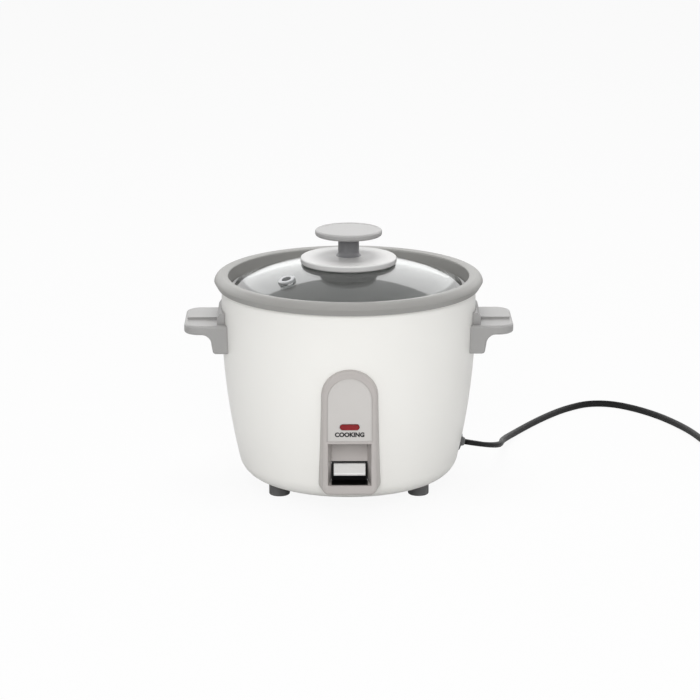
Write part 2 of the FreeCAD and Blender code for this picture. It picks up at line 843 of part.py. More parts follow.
def handle_blank(name):
    """The right handle before it is shaped to the shell: a ledge on a base, a pad and a gusset."""
    under = S.handle_under_bend
    handle = extruded(name, "XZ_Plane", [
        (S.handle_root, S.handle_base_bottom_z),
        (S.handle_base_reach, S.handle_base_bottom_z),
        (S.handle_waist_reach, S.handle_ledge_bottom_z - under, -under),
        (S.handle_waist_reach + under, S.handle_ledge_bottom_z),
        (S.handle_reach, S.handle_ledge_bottom_z),
        (S.handle_reach, S.handle_ledge_top_z),
        (S.handle_root, S.handle_ledge_top_z),
    ], S.handle_half_width * 2)
    reach = S.handle_reach.value
    rounded(handle, S.handle_corner_radius,
            lambda middle, along: same(middle.x, reach) and same(abs(along.z), 1))
    top, bottom = S.handle_ledge_top_z.value, S.handle_ledge_bottom_z.value
    half, clear = S.handle_half_width.value, S.handle_waist_reach.value

    def ledge_rim(middle, along):
        on_rim = same(middle.z, top) or same(middle.z, bottom)
        on_side = same(abs(middle.y), half)
        return (on_rim and not same(abs(along.y), 1) and middle.x > clear) or on_side or (
            on_rim and same(middle.x, reach))

    rounded(handle, S.handle_edge_bend, ledge_rim)
    toe_x, toe_z = S.handle_base_reach.value, S.handle_base_bottom_z.value
    rounded(handle, S.handle_toe_bend,
            lambda middle, along: same(middle.x, toe_x) and same(middle.z, toe_z))
    pad_top = S.handle_ledge_top_z + S.handle_pad_height
    pad_reach = S.handle_reach - S.handle_pad_inset
    add_pad(handle, "XZ_Plane", [
        (S.handle_root, S.handle_ledge_bottom_z),
        (pad_reach, S.handle_ledge_bottom_z + S.handle_edge_bend),
        (pad_reach, pad_top),
        (S.handle_root, pad_top),
    ], S.handle_pad_half_width * 2)
    add_pad(handle, "XZ_Plane", [
        (S.handle_root, S.handle_ledge_bottom_z),
        (S.handle_gusset_reach, S.handle_ledge_bottom_z),
        (S.handle_gusset_reach, S.handle_gusset_shoulder_z),
        (S.handle_gusset_top_reach, S.handle_gusset_top_z),
        (S.handle_root, S.handle_gusset_top_z),
    ], S.handle_gusset_half_width * 2)
    return handle


def handles():
    holes = []
    for index, height in enumerate((S.handle_screw_low_z, S.handle_screw_high_z)):
        start = (S.handle_root, 0, height)
        depth = shell_radius_at(height) - S.handle_root + S.handle_screw_length
        holes.append(cylinder(f"handle_bore_{index}", S.screw_radius + S.fit, depth, start, TO_X))
    blank = handle_blank("handle_blank")
    right = piece("right_handle", cut("right_handle", blank, shell_envelope("handle_seat"), *holes))
    left = doc.addObject("Part::Mirroring", "left_handle")
    left.Source = right
    left.Normal = Vector(1, 0, 0)
    piece("left_handle", left)


# Switch panel


def neck_bottom():
    """Underside of the panel's neck where it passes through the shell."""
    return S.opening_low_z - S.surround_wall - S.fit - S.surround_wall


def recess_back():
    """Distance of the recess's back wall before the axis."""
    return S.panel_front - S.recess_depth


def arch(half, low, high, corner=None):
    """An arched outline, seen from the front, with square or rounded lower corners."""
    spring = high - half
    if corner is None:
        foot = [(-half, low), (half, low)]
        back = []
    else:
        foot = [(corner - half, low), (half - corner, low, corner), (half, low + corner)]
        back = [(-half, low + corner, corner)]
    return foot + [(half, spring, half), (0, high, half), (-half, spring)] + back


def stadium(half_length, half_height, height):
    """A flat slot outline with round ends, seen from the front."""
    straight = half_length - half_height
    return [
        (-straight, height - half_height),
        (straight, height - half_height, half_height),
        (half_length, height, half_height),
        (straight, height + half_height),
        (-straight, height + half_height, half_height),
        (-half_length, height, half_height),
    ]


def frustum(name, front, back, front_half, back_half, front_z, back_z):
    """A block that narrows inwards from the front: half widths and (low, high) heights at both ends."""
    wedge = doc.addObject("Part::Wedge", name)
    bind(wedge, Ymin=-front, Ymax=-back)
    bind(wedge, Xmin=-front_half, Xmax=front_half, X2min=-back_half, X2max=back_half)
    bind(wedge, Zmin=front_z[0], Zmax=front_z[1], Z2min=back_z[0], Z2max=back_z[1])
    return wedge


def panel_frame():
    outline = arch(S.panel_half_width, S.panel_bottom_z, S.panel_top_z, S.panel_corner_radius)
    blank = front_prism("panel_blank", outline, S.panel_front, S.panel_depth, S.panel_draft_angle)
    front = -S.panel_front.value
    rounded(blank, S.panel_edge_bend, lambda middle, along: same(middle.y, front))
    face = cut("panel_face", blank, shell_envelope("panel_seat"))
    wall = S.recess_wall
    back = recess_back()
    neck = frustum("panel_neck", S.panel_front - S.sill_wall, back - wall,
                   S.recess_half_width, S.opening_half_width + S.surround_wall + S.fit + wall,
                   (neck_bottom(), S.recess_top_z + wall), (neck_bottom(), S.recess_back_top_z + wall))
    recess = frustum("panel_recess", S.panel_front, back,
                     S.recess_half_width, S.opening_half_width + S.surround_wall,
                     (S.sill_top_z, S.recess_top_z), (S.sill_top_z, S.recess_back_top_z))
    pocket_half = S.opening_half_width + S.surround_wall + S.fit
    pocket = box("surround_pocket",
                 (-pocket_half, S.sill_wall - S.panel_front, surround_low() - S.fit),
                 (pocket_half, -S.surround_back, surround_high() + S.fit))
    plate_outline = arch(S.plate_half_width + S.fit, S.plate_bottom_z, S.plate_top_z + S.fit)
    plate_depth = S.plate_inset + S.plate_thickness
    plate_pocket = front_prism("plate_pocket", plate_outline, S.panel_front, plate_depth)
    lens_outline = stadium(S.lens_half_length + S.fit, S.lens_half_height + S.fit, S.lens_z)
    lens_hole = front_prism("frame_lens_hole", lens_outline, S.panel_front, S.panel_depth)
    tools = [recess, pocket, plate_pocket, lens_hole]
    for index, side in enumerate((-1, 1)):
        start = (S.panel_screw_x * side, -S.shield_radius, S.panel_screw_z)
        depth = panel_screw_seat() - S.shield_radius + S.screw_length + S.fit
        tools.append(cylinder(f"frame_bore_{index}", S.screw_radius, depth, start, TO_FRONT))
    piece("panel_frame", cut("panel_frame", joined("panel_body", face, neck), *tools))


def panel_screw_seat():
    """Distance before the axis of the panel screws' seats on the shell's inner face."""
    radius = shell_radius_at(S.panel_screw_z, S.shell_wall)
    return root(square(radius) - square(S.panel_screw_x + S.screw_head_radius)) - S.fit


def panel_trim():
    plate_front = S.panel_front - S.plate_inset
    outline = arch(S.plate_half_width, S.plate_bottom_z, S.plate_top_z)
    plate = front_prism("plate_blank", outline, plate_front, S.plate_thickness)
    hole = stadium(S.lens_half_length + S.fit, S.lens_half_height + S.fit, S.lens_z)
    piece("panel_plate", cut("panel_plate", plate, front_prism("plate_lens_hole", hole, S.panel_front,
                                                               S.panel_depth)))
    lens_outline = stadium(S.lens_half_length, S.lens_half_height, S.lens_z)
    lens = front_prism("lamp_lens", lens_outline, plate_front + S.lens_proud, S.lens_length)
    piece("lamp_lens", lens)
    screws = []
    for side in (-1, 1):
        start = (S.panel_screw_x * side, S.screw_head_height - panel_screw_seat(), S.panel_screw_z)
        screws.append(screw(f"panel_screw_{len(screws)}", start, TO_FRONT))
    piece("panel_screws", grouped("panel_screws", screws))


def lamp_holder_half():
    return S.bulb_length / 2 + S.running_gap + S.lamp_holder_wall + S.running_gap


def lamp_holder_rise():
    return S.bulb_radius + S.running_gap + S.lamp_holder_wall


def lamp():
    bulb = turned("lamp_bulb", [
        (0, 0, S.bulb_radius),
        (S.bulb_radius, S.bulb_radius),
        (S.bulb_radius, S.bulb_length - S.bulb_radius, S.bulb_radius),
        (0, S.bulb_length),
    ])
    piece("lamp_bulb", place(bulb, -S.bulb_length / 2, -S.bulb_back, S.lens_z, TO_X))
    half = lamp_holder_half() - S.running_gap
    rise = lamp_holder_rise()
    wall = S.lamp_holder_wall
    seat = root(square(shell_radius_at(S.lens_z)) - square(half)) - S.fit
    back = S.bulb_back - S.bulb_radius - S.running_gap
    block = box("lamp_holder_block", (-half, -seat, S.lens_z - rise), (half, wall - back, S.lens_z + rise))
    hollow = box("lamp_holder_hollow", (wall - half, -S.panel_front, S.lens_z - rise + wall),
                 (half - wall, -back, S.lens_z + rise - wall))
    piece("lamp_holder", cut("lamp_holder", block, hollow))


def surround_low():
    return S.opening_low_z - S.surround_wall


def surround_high():
    return S.opening_high_z + S.surround_wall


def switch_surround():
    wall = S.surround_wall
    half = S.opening_half_width + wall
    front = S.panel_front - S.sill_wall - S.fit
    block = box("surround_block", (-half, -front, surround_low()), (half, -S.surround_back, surround_high()))
    hollow = box("surround_hollow", (-S.opening_half_width, -S.panel_front, S.opening_low_z),
                 (S.opening_half_width, -S.surround_back - wall, S.opening_high_z))
    open_front = box("surround_front", (-half, -S.panel_front, S.sill_top_z - S.fit),
                     (half, -recess_back(), surround_high()))
    slot = box("surround_slot", (-S.surround_slot_half, -S.surround_back - wall, S.surround_slot_low_z),
               (S.surround_slot_half, -S.surround_back, S.surround_slot_high_z))
    piece("switch_surround", cut("switch_surround", block, hollow, open_front, slot))


# Switch lever, its bracket and the micro switch


def lever_low():
    return S.lever_pivot_z - S.lever_thickness / 2


def switch_arm():
    low = lever_low()
    high = low + S.lever_thickness
    strip = extruded("arm_strip", "YZ_Plane", [
        (S.lever_tip_y, low),
        (S.lever_tip_y, high),
        (S.lever_thickness / 2 - S.lever_bend_y, high),
        (S.lever_thickness / 2 - S.lever_rise_y, high + S.lever_rise),
        (-S.lever_front_y, high + S.lever_rise),
        (-S.lever_front_y, low + S.lever_rise),
        (-S.lever_rise_y, low + S.lever_rise),
        (-S.lever_bend_y, low),
    ], S.lever_width)
    half = S.bracket_ear_inside - S.running_gap
    start = (-half, -S.lever_pivot_y, S.lever_pivot_z)
    knuckle = cylinder("arm_knuckle", S.lever_knuckle_radius, half * 2, start, TO_X)
    bore = cylinder("arm_bore", S.lever_pin_radius + S.pin_gap, half * 2, start, TO_X)
    piece("switch_arm", cut("switch_arm", joined("arm_body", strip, knuckle), bore))


def switch_key():
    low = lever_low() + S.lever_rise
    key = extruded("key_blank", "YZ_Plane", [
        (S.key_nose_lean - S.key_nose_y, S.key_nose_z),
        (-S.key_belly_y, S.key_nose_z - S.key_belly_drop),
        (-S.key_back_y, S.key_nose_z - S.key_belly_drop),
        (-S.key_back_y, S.key_top_z),
        (-S.key_top_y, S.key_top_z),
        (-S.key_nose_y, S.key_nose_z + S.key_nose_height),
    ], S.key_half_width * 2)
    back = -S.key_back_y.value
    rounded(key, S.key_edge_bend, lambda middle, along: same(abs(along.x), 1) and middle.y < back - 1e-3)
    slot_half = S.lever_width / 2 + S.pin_gap
    slot = box("key_slot", (-slot_half, -S.lever_front_y - S.fit, low - S.pin_gap),
               (slot_half, -S.key_back_y, low + S.lever_thickness + S.pin_gap))
    piece("switch_key", cut("switch_key", key, slot))


def bracket_floor():
    return S.shell_bottom_z + S.shell_wall


def lever_bracket():
    low = bracket_floor()
    high = low + S.bracket_thickness
    half = S.bracket_half_width
    floor = box("bracket_plate", (-half, -S.bracket_front_y, low), (half, -S.bracket_back_y, high))
    solids = [floor]
    for index, side in enumerate((-1, 1)):
        inside = S.bracket_ear_inside * side
        outside = (S.bracket_ear_inside + S.bracket_thickness) * side
        left, right = (outside, inside) if side < 0 else (inside, outside)
        solids.append(box(f"bracket_ear_{index}",
                          (left, -S.lever_pivot_y - S.bracket_ear_half, low),
                          (right, S.bracket_ear_half - S.lever_pivot_y, S.lever_pivot_z + S.bracket_ear_top)))
    start = (-half, -S.lever_pivot_y, S.lever_pivot_z)
    holes = [cylinder("ear_bore", S.lever_pin_radius + S.pin_gap, half * 2, start, TO_X)]
    for index, side in enumerate((-1, 1)):
        start = (S.bracket_screw_x * side, -S.bracket_screw_y, low)
        holes.append(cylinder(f"bracket_bore_{index}", S.screw_radius + S.fit, S.bracket_thickness, start))
    piece("lever_bracket", cut("lever_bracket", joined("bracket_body", *solids), *holes))
    pin_start = (-half, -S.lever_pivot_y, S.lever_pivot_z)
    piece("lever_pin", cylinder("lever_pin", S.lever_pin_radius, half * 2, pin_start, TO_X))
    heads_z = S.shell_bottom_z - S.screw_head_height
    screws = [screw(f"bracket_screw_{index}", (S.bracket_screw_x * side, -S.bracket_screw_y, heads_z))
              for index, side in enumerate((-1, 1))]
    piece("bracket_screws", grouped("bracket_screws", screws))


def micro_switch():
    low = bracket_floor() + S.bracket_thickness
    high = low + S.micro_height
    half = S.micro_half_width
    middle_y = -(S.micro_front_y + S.micro_back_y) / 2
    block = box("micro_block", (-half, -S.micro_front_y, low), (half, -S.micro_back_y, high))
    bore_start = (0, middle_y, high - S.plunger_depth * 2)
    bore = cylinder("micro_bore", S.plunger_radius + S.running_gap, S.plunger_depth * 2, bore_start)
    piece("micro_switch", cut("micro_switch", block, bore))
    plunger_low = high - S.plunger_depth
    plunger_length = lever_low() - S.running_gap - plunger_low
    plunger_start = (0, middle_y, plunger_low)
    piece("switch_plunger", cylinder("switch_plunger", S.plunger_radius, plunger_length, plunger_start))


# Heater, sensor and magnet


def heater_top():
    return S.pan_bottom_z - S.fit


def heater_bottom():
    return heater_top() - S.heater_height


def terminal_angles():
    half_gap = S.element_gap_angle / 2
    return S.grommet_angle - half_gap, S.grommet_angle + half_gap


def heater():
    top = heater_top()
    bottom = heater_bottom()
    disc = turned("heater_disc", [
        (S.heater_bore_radius, bottom),
        (S.heater_radius, bottom),
        (S.heater_radius, top - S.heater_edge_bend, S.heater_edge_bend),
        (S.heater_radius - S.heater_edge_bend, top),
        (S.heater_bore_radius, top),
    ])
    leg_foot = S.shield_floor_z + S.shield_wall
    legs = []
    bores = []
    screws = []
    for index, angle in enumerate(HEATER_LEG_ANGLES):
        at = polar(S.heater_leg_circle, angle)
        legs.append(cylinder(f"heater_leg_{index}", S.heater_leg_radius, bottom - leg_foot, (*at, leg_foot)))
        bores.append(cylinder(f"leg_bore_{index}", S.screw_radius, S.screw_length + S.fit, (*at, leg_foot)))
        screws.append(screw(f"heater_screw_{index}", (*at, S.shield_floor_z - S.screw_head_height)))
    groove = doc.addObject("Part::Torus", "element_groove")
    bind(groove, Radius1=S.element_circle, Radius2=S.element_radius + S.fit)
    place(groove, 0, 0, bottom)
    body = joined("heater_casting", disc, *legs)
    piece("heater_plate", cut("heater_plate", body, groove, *bores))
    piece("heater_screws", grouped("heater_screws", screws))


def heater_element():
    low = heater_bottom()
    first, last = terminal_angles()
    tube = doc.addObject("Part::Torus", "element_tube")
    bind(tube, Radius1=S.element_circle, Radius2=S.element_radius, Angle3=360 - S.element_gap_angle)
    place(tube, 0, 0, low, Rotation(UP, last.value))
    tube.setExpression("Placement.Rotation.Angle", last.formula)
    pins = []
    for index, angle in enumerate((first, last)):
        start = (*polar(S.element_circle, angle), low - S.terminal_pin_length)
        pins.append(cylinder(f"element_pin_{index}", S.terminal_pin_radius, S.terminal_pin_length, start))
    piece("heater_element", joined("heater_element", tube, *pins))


def cap_under():
    """Underside of the sensor cap's crown, where the ferrite disc sits."""
    return S.pan_bottom_z - S.running_gap - S.sensor_cap_wall


def ferrite_low():
    return cap_under() - S.ferrite_height


def magnet_lift():
    """How far the lever raises the magnet: the arm's length behind the pin, by the press in radians."""
    return S.lever_pivot_y * S.press_angle * math.radians(1)


def magnet_top():
    return ferrite_low() - magnet_lift() - S.running_gap


def sensor():
    top = S.pan_bottom_z - S.running_gap
    wall = S.sensor_cap_wall
    foot = top - S.sensor_skirt_height
    bend = S.sensor_edge_bend
    cap = turned("sensor_cap", [
        (S.sensor_cap_radius - wall, cap_under()),
        (S.sensor_cap_radius - wall, foot),
        (S.sensor_lip_radius, foot),
        (S.sensor_lip_radius, foot + wall),
        (S.sensor_cap_radius, foot + wall),
        (S.sensor_cap_radius, top - bend, bend),
        (S.sensor_cap_radius - bend, top),
        (0, top),
        (0, cap_under()),
    ])
    piece("sensor_cap", cap)
    ferrite = cylinder("sensor_ferrite", S.ferrite_radius, S.ferrite_height, (0, 0, ferrite_low()))
    piece("sensor_ferrite", ferrite)
    wall = S.holder_wall
    seat = heater_bottom()
    hole = S.magnet_rod_radius + S.running_gap
    holder = turned("sensor_holder", [
        (hole, S.holder_bottom_z),
        (S.holder_radius, S.holder_bottom_z),
        (S.holder_radius, seat - wall),
        (S.holder_flange_radius, seat - wall),
        (S.holder_flange_radius, seat),
        (S.holder_radius - wall, seat),
        (S.holder_radius - wall, S.holder_bottom_z + wall),
        (hole, S.holder_bottom_z + wall),
    ])
    piece("sensor_holder", holder)
    wire = S.sensor_spring_wire
    piece("sensor_spring", spring("sensor_spring", S.sensor_spring_radius, wire, S.sensor_spring_turns,
                                  S.holder_bottom_z + wall, cap_under()))


def magnet():
    top = magnet_top()
    low = top - S.magnet_height
    ring = turned("magnet", [
        (S.magnet_bore_radius, low),
        (S.magnet_radius, low),
        (S.magnet_radius, top),
        (S.magnet_bore_radius, top),
    ])
    piece("magnet", ring)
    foot = lever_low() + S.lever_thickness + S.lever_rod_gap
    rod = turned("magnet_rod", [
        (0, foot),
        (S.magnet_rod_radius, foot),
        (S.magnet_rod_radius, low - S.magnet_plate_height),
        (S.magnet_radius, low - S.magnet_plate_height),
        (S.magnet_radius, low),
        (0, low),
    ])
    piece("magnet_rod", rod)
    piece("magnet_spring", spring("magnet_spring", S.magnet_spring_radius, S.magnet_spring_wire,
                                  S.magnet_spring_turns, low, ferrite_low()))


# Inner pan and lid


def flange_top():
    return S.ring_ledge_z + S.running_gap + S.pan_wall


def inner_pan():
    wall = S.pan_wall
    corner = S.pan_corner_radius
    flange_low = S.ring_ledge_z + S.running_gap
    corner_r = S.pan_low_radius - corner
    corner_z = S.pan_bottom_z + corner
    piece("inner_pan", turned("inner_pan", [
        (0, S.pan_bottom_z),
        (corner_r, S.pan_bottom_z, corner),
        (S.pan_low_radius, corner_z),
        (S.pan_top_radius, flange_low),
        (S.pan_flange_radius, flange_low),
        (S.pan_flange_radius, flange_top()),
        (S.pan_top_radius - wall, flange_top()),
        (S.pan_low_radius - wall, corner_z, wall - corner),
        (corner_r, S.pan_bottom_z + wall),
        (0, S.pan_bottom_z + wall),
    ]))


def glass_bottom():
    return flange_top() + S.fit


def glass_apex():
    return glass_bottom() + S.glass_edge_height + S.glass_rise


def dome_radius():
    """Radius of the glass's outer face, which rises from its edge to its apex."""
    return (square(S.glass_radius) + square(S.glass_rise)) / (S.glass_rise * 2)


def dome_height(radius):
    """Height of the glass's outer face at a distance from the axis."""
    return glass_apex() - dome_radius() + root(square(dome_radius()) - square(radius))


def lid_glass():
    low = glass_bottom()
    inner = dome_radius() - S.glass_thickness
    depth = low - glass_apex() + dome_radius()
    inner_edge = root(square(inner) - square(depth))
    inner_top = glass_apex() - S.glass_thickness
    hole_outer = dome_height(S.lid_hole_radius)
    hole_inner = inner_top - inner + root(square(inner) - square(S.lid_hole_radius))
    bend = S.glass_edge_bend
    edge_top = low + S.glass_edge_height - bend
    edge_in = S.glass_radius - bend
    blank = turned("glass_blank", [
        (inner_edge, low),
        (S.glass_radius, low),
        (S.glass_radius, edge_top),
        (edge_in, dome_height(edge_in), dome_radius()),
        (S.lid_hole_radius, hole_outer),
        (S.lid_hole_radius, hole_inner, -inner),
    ])
    hole = cylinder("vent_bore", S.vent_neck_radius + S.fit, S.glass_thickness * 3)
    place_on_dome(hole, -S.glass_thickness * 2)
    piece("lid_glass", cut("lid_glass", blank, hole))


def place_on_dome(target, lift):
    """Stand an object on the glass where the steam vent is, square to the dome and lifted along it."""
    lean = S.vent_circle / dome_radius()
    level = root(1 - square(lean))
    reach = S.vent_circle + lean * lift
    height = dome_height(S.vent_circle) + level * lift
    side_x, side_y = polar(lean, S.vent_angle)
    facing = Rotation(UP, Vector(side_x.value, side_y.value, level.value))
    return place(target, *polar(reach, S.vent_angle), height, facing)


def steam_vent():
    neck = S.glass_thickness + S.fit * 2
    lower = S.vent_flange_height
    top = lower + neck + S.vent_flange_height
    bend = S.vent_flange_height / 2
    vent = turned("steam_vent", [
        (S.vent_hole_radius, 0),
        (S.vent_lower_radius, 0),
        (S.vent_lower_radius, lower),
        (S.vent_neck_radius, lower),
        (S.vent_neck_radius, lower + neck),
        (S.vent_flange_radius, lower + neck),
        (S.vent_flange_radius, top - bend, bend),
        (S.vent_flange_radius - bend, top),
        (S.vent_hole_radius, top),
    ])
    piece("steam_vent", place_on_dome(vent, -S.glass_thickness - S.fit - lower))


def saucer_low():
    """Underside of the saucer's rim, just clear of the glass."""
    return dome_height(S.saucer_radius) + S.saucer_gap


def stem_low():
    return saucer_low() + S.saucer_edge_height + S.saucer_rise


def lid_saucer():
    low = saucer_low()
    high = low + S.saucer_edge_height
    bend = S.saucer_edge_bend
    seat = glass_apex() + S.fit
    bore = S.lid_screw_radius + S.fit
    piece("lid_saucer", turned("lid_saucer", [
        (bore, seat),
        (S.saucer_seat_radius, seat, -dome_radius()),
        (S.saucer_radius - bend, low, bend),
        (S.saucer_radius, low + bend),
        (S.saucer_radius, high - bend, bend),
        (S.saucer_radius - bend, high),
        (S.saucer_radius - bend - S.saucer_lip, high - S.saucer_dish),
        (S.stem_foot_radius + S.stem_foot_bend, high + S.saucer_rise),
        (bore, high + S.saucer_rise),
    ]))


def knob_under():
    """Underside of the knob's rim."""
    return S.knob_top_z - S.knob_edge_height


def lid_stem():
    low = stem_low()
    high = knob_under() + S.knob_under_rise - S.fit
    bore = S.knob_spigot_radius + S.fit
    piece("lid_stem", turned("lid_stem", [
        (bore, low),
        (S.stem_foot_radius, low, -S.stem_foot_bend),
        (S.stem_radius, low + S.stem_foot_bend),
        (S.stem_radius, high),
        (bore, high),
    ]))


def lid_knob():
    low = stem_low()
    top = S.knob_top_z
    bend = S.knob_edge_bend
    under = knob_under()
    dish_radius = S.knob_radius - bend - S.knob_lip
    bore = S.lid_screw_radius + S.fit
    screw_top = glass_apex() - S.glass_thickness - S.fit + S.lid_screw_length
    piece("lid_knob", turned("lid_knob", [
        (bore, low),
        (S.knob_spigot_radius, low),
        (S.knob_spigot_radius, under + S.knob_under_rise),
        (S.stem_radius, under + S.knob_under_rise),
        (S.knob_radius - bend, under, bend),
        (S.knob_radius, under + bend),
        (S.knob_radius, top - bend, bend),
        (S.knob_radius - bend, top),
        (dish_radius, top - S.knob_dish),
        (0, top - S.knob_dish),
        (0, screw_top + S.fit),
        (bore, screw_top + S.fit),
    ]))


def lid_fastening():
    washer_top = glass_apex() - S.glass_thickness - S.fit
    washer_low = washer_top - S.lid_washer_height
    bore = S.lid_screw_radius + S.fit
    piece("lid_washer", turned("lid_washer", [
        (bore, washer_low),
        (S.lid_washer_radius, washer_low),
        (S.lid_washer_radius, washer_top - S.fit),
        (bore, washer_top - S.fit),
    ]))
    head_low = washer_low - S.lid_screw_head_height
    piece("lid_screw", turned("lid_screw", [
        (0, head_low),
        (S.lid_screw_head_radius, head_low),
        (S.lid_screw_head_radius, washer_low),
        (S.lid_screw_radius, washer_low),
        (S.lid_screw_radius, washer_top + S.lid_screw_length),
        (0, washer_top + S.lid_screw_length),
    ]))


# Supply inside the shell


def supply():
    point, normal, facing = grommet_frame()
    inside = S.shell_wall + S.grommet_barb_length
    barb_top = S.grommet_barb_length - S.fit
    flange_low = inside + S.fit
    flange_high = inside + S.grommet_flange_height
    grommet = turned("cord_grommet", [
        (0, 0),
        (S.grommet_neck_radius, 0),
        (S.grommet_barb_radius, barb_top),
        (S.grommet_neck_radius, barb_top),
        (S.grommet_neck_radius, flange_low),
        (S.grommet_flange_radius, flange_low),
        (S.grommet_flange_radius, flange_high),
        (S.grommet_nose_radius, flange_high),
        (S.cord_radius + S.fit, inside + S.grommet_nose_length),
        (0, inside + S.grommet_nose_length),
    ])
    start = along(point, normal, -inside)
    piece("cord_grommet", place(grommet, *start, facing))
    about = Rotation(UP, S.grommet_angle.value)
    block = box("block_body", (S.block_inner, -S.block_half_width, S.shield_floor_z - S.block_height),
                (S.block_outer, S.block_half_width, S.shield_floor_z))
    turned_block = grouped("block_turned", [block])
    turned_block.Placement = FreeCAD.Placement(Vector(0, 0, 0), about)
    turned_block.setExpression("Placement.Rotation.Angle", S.grommet_angle.formula)
    sockets = []
    depth = S.terminal_pin_length - (heater_bottom() - S.shield_floor_z) + S.fit
    for index, angle in enumerate(terminal_angles()):
        low = (*polar(S.element_circle, angle), S.shield_floor_z - depth)
        sockets.append(cylinder(f"block_socket_{index}", S.terminal_pin_radius + S.fit, depth, low))
    reach = shell_radius_at(S.grommet_z) - S.block_outer
    length = reach / normal_level() - inside + S.inner_cord_overlap
    far_end = along(start, normal, -length)
    cord_bore = cylinder("block_bore", S.inner_cord_radius + S.fit, length, far_end, facing)
    piece("terminal_block", cut("terminal_block", turned_block, cord_bore, *sockets))
    piece("inner_cord", cylinder("inner_cord", S.inner_cord_radius, length, far_end, facing))
    fuse_z = S.shield_floor_z - S.fuse_radius - S.fit
    fuse = turned("thermal_fuse", [
        (0, 0),
        (S.fuse_radius, 0),
        (S.fuse_radius, S.fuse_length),
        (0, S.fuse_length),
    ])
    piece("thermal_fuse", place(fuse, -S.fuse_length / 2, S.fuse_y, fuse_z, TO_X))


def normal_level():
    """The level share of the grommet's outward normal."""
    dip = (S.shell_widest_z - S.grommet_z) / S.shell_side_radius
    return root(1 - square(dip))


# Springs, cord and coil: tubes along paths of arcs


def bent_edge(first, direction, last):
    """The arc that leaves a point in a direction and ends at another point."""
    chord = last - first
    flat = chord.normalize()
    length = (last - first).Length
    aside = direction - flat * direction.dot(flat)
    if aside.Length < 1e-9:
        return Part.LineSegment(first, last).toShape()
    turn = math.atan2(aside.Length, direction.dot(flat))
    middle = (first + last) * 0.5 + aside.normalize() * (length / 2 * math.tan(turn / 2))
    return Part.Arc(first, middle, last).toShape()


def biarc(first, leave, last, arrive):
    """Two arcs that join two points and keep the directions given at both."""
    across = last - first
    both = leave + arrive
    spread = 2.0 * (1.0 - leave.dot(arrive))
    if spread < 1e-9:
        reach = across.dot(across) / (4.0 * across.dot(arrive))
    else:
        aim = across.dot(both)
        reach = (math.sqrt(aim * aim + spread * across.dot(across)) - aim) / spread
    middle = (first + last + (leave - arrive) * reach) * 0.5
    end = bent_edge(last, arrive * -1, middle)
    return [bent_edge(first, leave, middle), end]


def winding(point_at, turns, start_share=0.0):
    """Edges along a curve of turns, two arcs for each quarter turn."""
    step = 0.25
    count = int(round(turns / step))
    nudge = 1e-4
    places = [start_share + index * turns / count for index in range(count + 1)]
    ways = [(point_at(share + nudge) - point_at(share - nudge)).normalize() for share in places]
    edges = []
    for index in range(count):
        edges += biarc(point_at(places[index]), ways[index], point_at(places[index + 1]), ways[index + 1])
    return edges


def tube(edges, start, direction, radius):
    """A round solid along a path of edges, and its volume against its section times its length."""
    path = Part.Wire(Part.__sortEdges__(edges))
    section = Part.Wire(Part.Circle(start, direction, radius).toShape())
    solid = path.makePipeShell([section], True, False)
    ideal = math.pi * radius * radius * path.Length
    return solid, path, solid.Volume / ideal


def feature(name, shape):
    """A document object that holds a shape of its own."""
    holder = doc.addObject("Part::Feature", name)
    holder.Shape = shape
    return holder


def least_gap(points, thickness, skip):
    """The least gap of a tube to itself, from points along it; skip is the length taken as neighbours."""
    lengths = [0.0]
    for before, after in zip(points, points[1:]):
        lengths.append(lengths[-1] + (after - before).Length)
    nearest = min(
        (points[first] - points[second]).Length
        for first in range(len(points))
        for second in range(first + 1, len(points))
        if lengths[second] - lengths[first] > skip
    )
    return nearest - thickness


def spring(name, radius, wire, turns, low, high):
    """A round wire spring between two seats, just clear of both."""
    mean, thick, count = radius.value, wire.value, turns.value
    bottom = low.value + thick + S.fit.value
    rise = high.value - thick - S.fit.value - bottom

    def point_at(share):
        angle = 2 * math.pi * share
        return Vector(mean * math.cos(angle), mean * math.sin(angle), bottom + rise * share / count)

    edges = winding(point_at, count)
    nudge = 1e-4
    way = (point_at(nudge) - point_at(-nudge)).normalize()
    solid, path, match = tube(edges, point_at(0), way, thick)
    points = [point_at(index / 40.0) for index in range(int(count * 40) + 1)]
    gap = least_gap(points, thick * 2, math.pi * mean)
    print(f"{name}: least gap to itself {gap:.2f} mm, volume to section by length {match:.4f}")
    return feature(name, solid)


def coil_point(share):
    """A point of the stored coil after a number of turns: in, up a layer in half a turn, and out again."""
    layer, climb = S.coil_layer_turns.value, S.coil_climb_turns.value
    outer, pitch = S.coil_outer_radius.value, S.coil_pitch.value
    inner = outer - pitch * layer
    height = S.coil_z.value
    if share <= layer:
        radius = outer - pitch * share
    elif share >= layer + climb:
        radius = inner + pitch * (share - layer - climb)
        height += S.coil_layer_step.value
    else:
        climbed = (share - layer) / climb
        radius = inner - pitch * climb * climbed * (1 - climbed)
        height += S.coil_layer_step.value * climbed * climbed * (3 - 2 * climbed)
    angle = math.radians(S.coil_start_angle.value) + 2 * math.pi * share
    centre = Vector(S.coil_centre_x.value, S.coil_centre_y.value, height)
    return centre + Vector(math.cos(angle), math.sin(angle), 0) * radius


def coil_direction(share):
    nudge = 1e-4
    return (coil_point(share + nudge) - coil_point(share - nudge)).normalize()


def coil_turns():
    return 2 * S.coil_layer_turns.value + S.coil_climb_turns.value


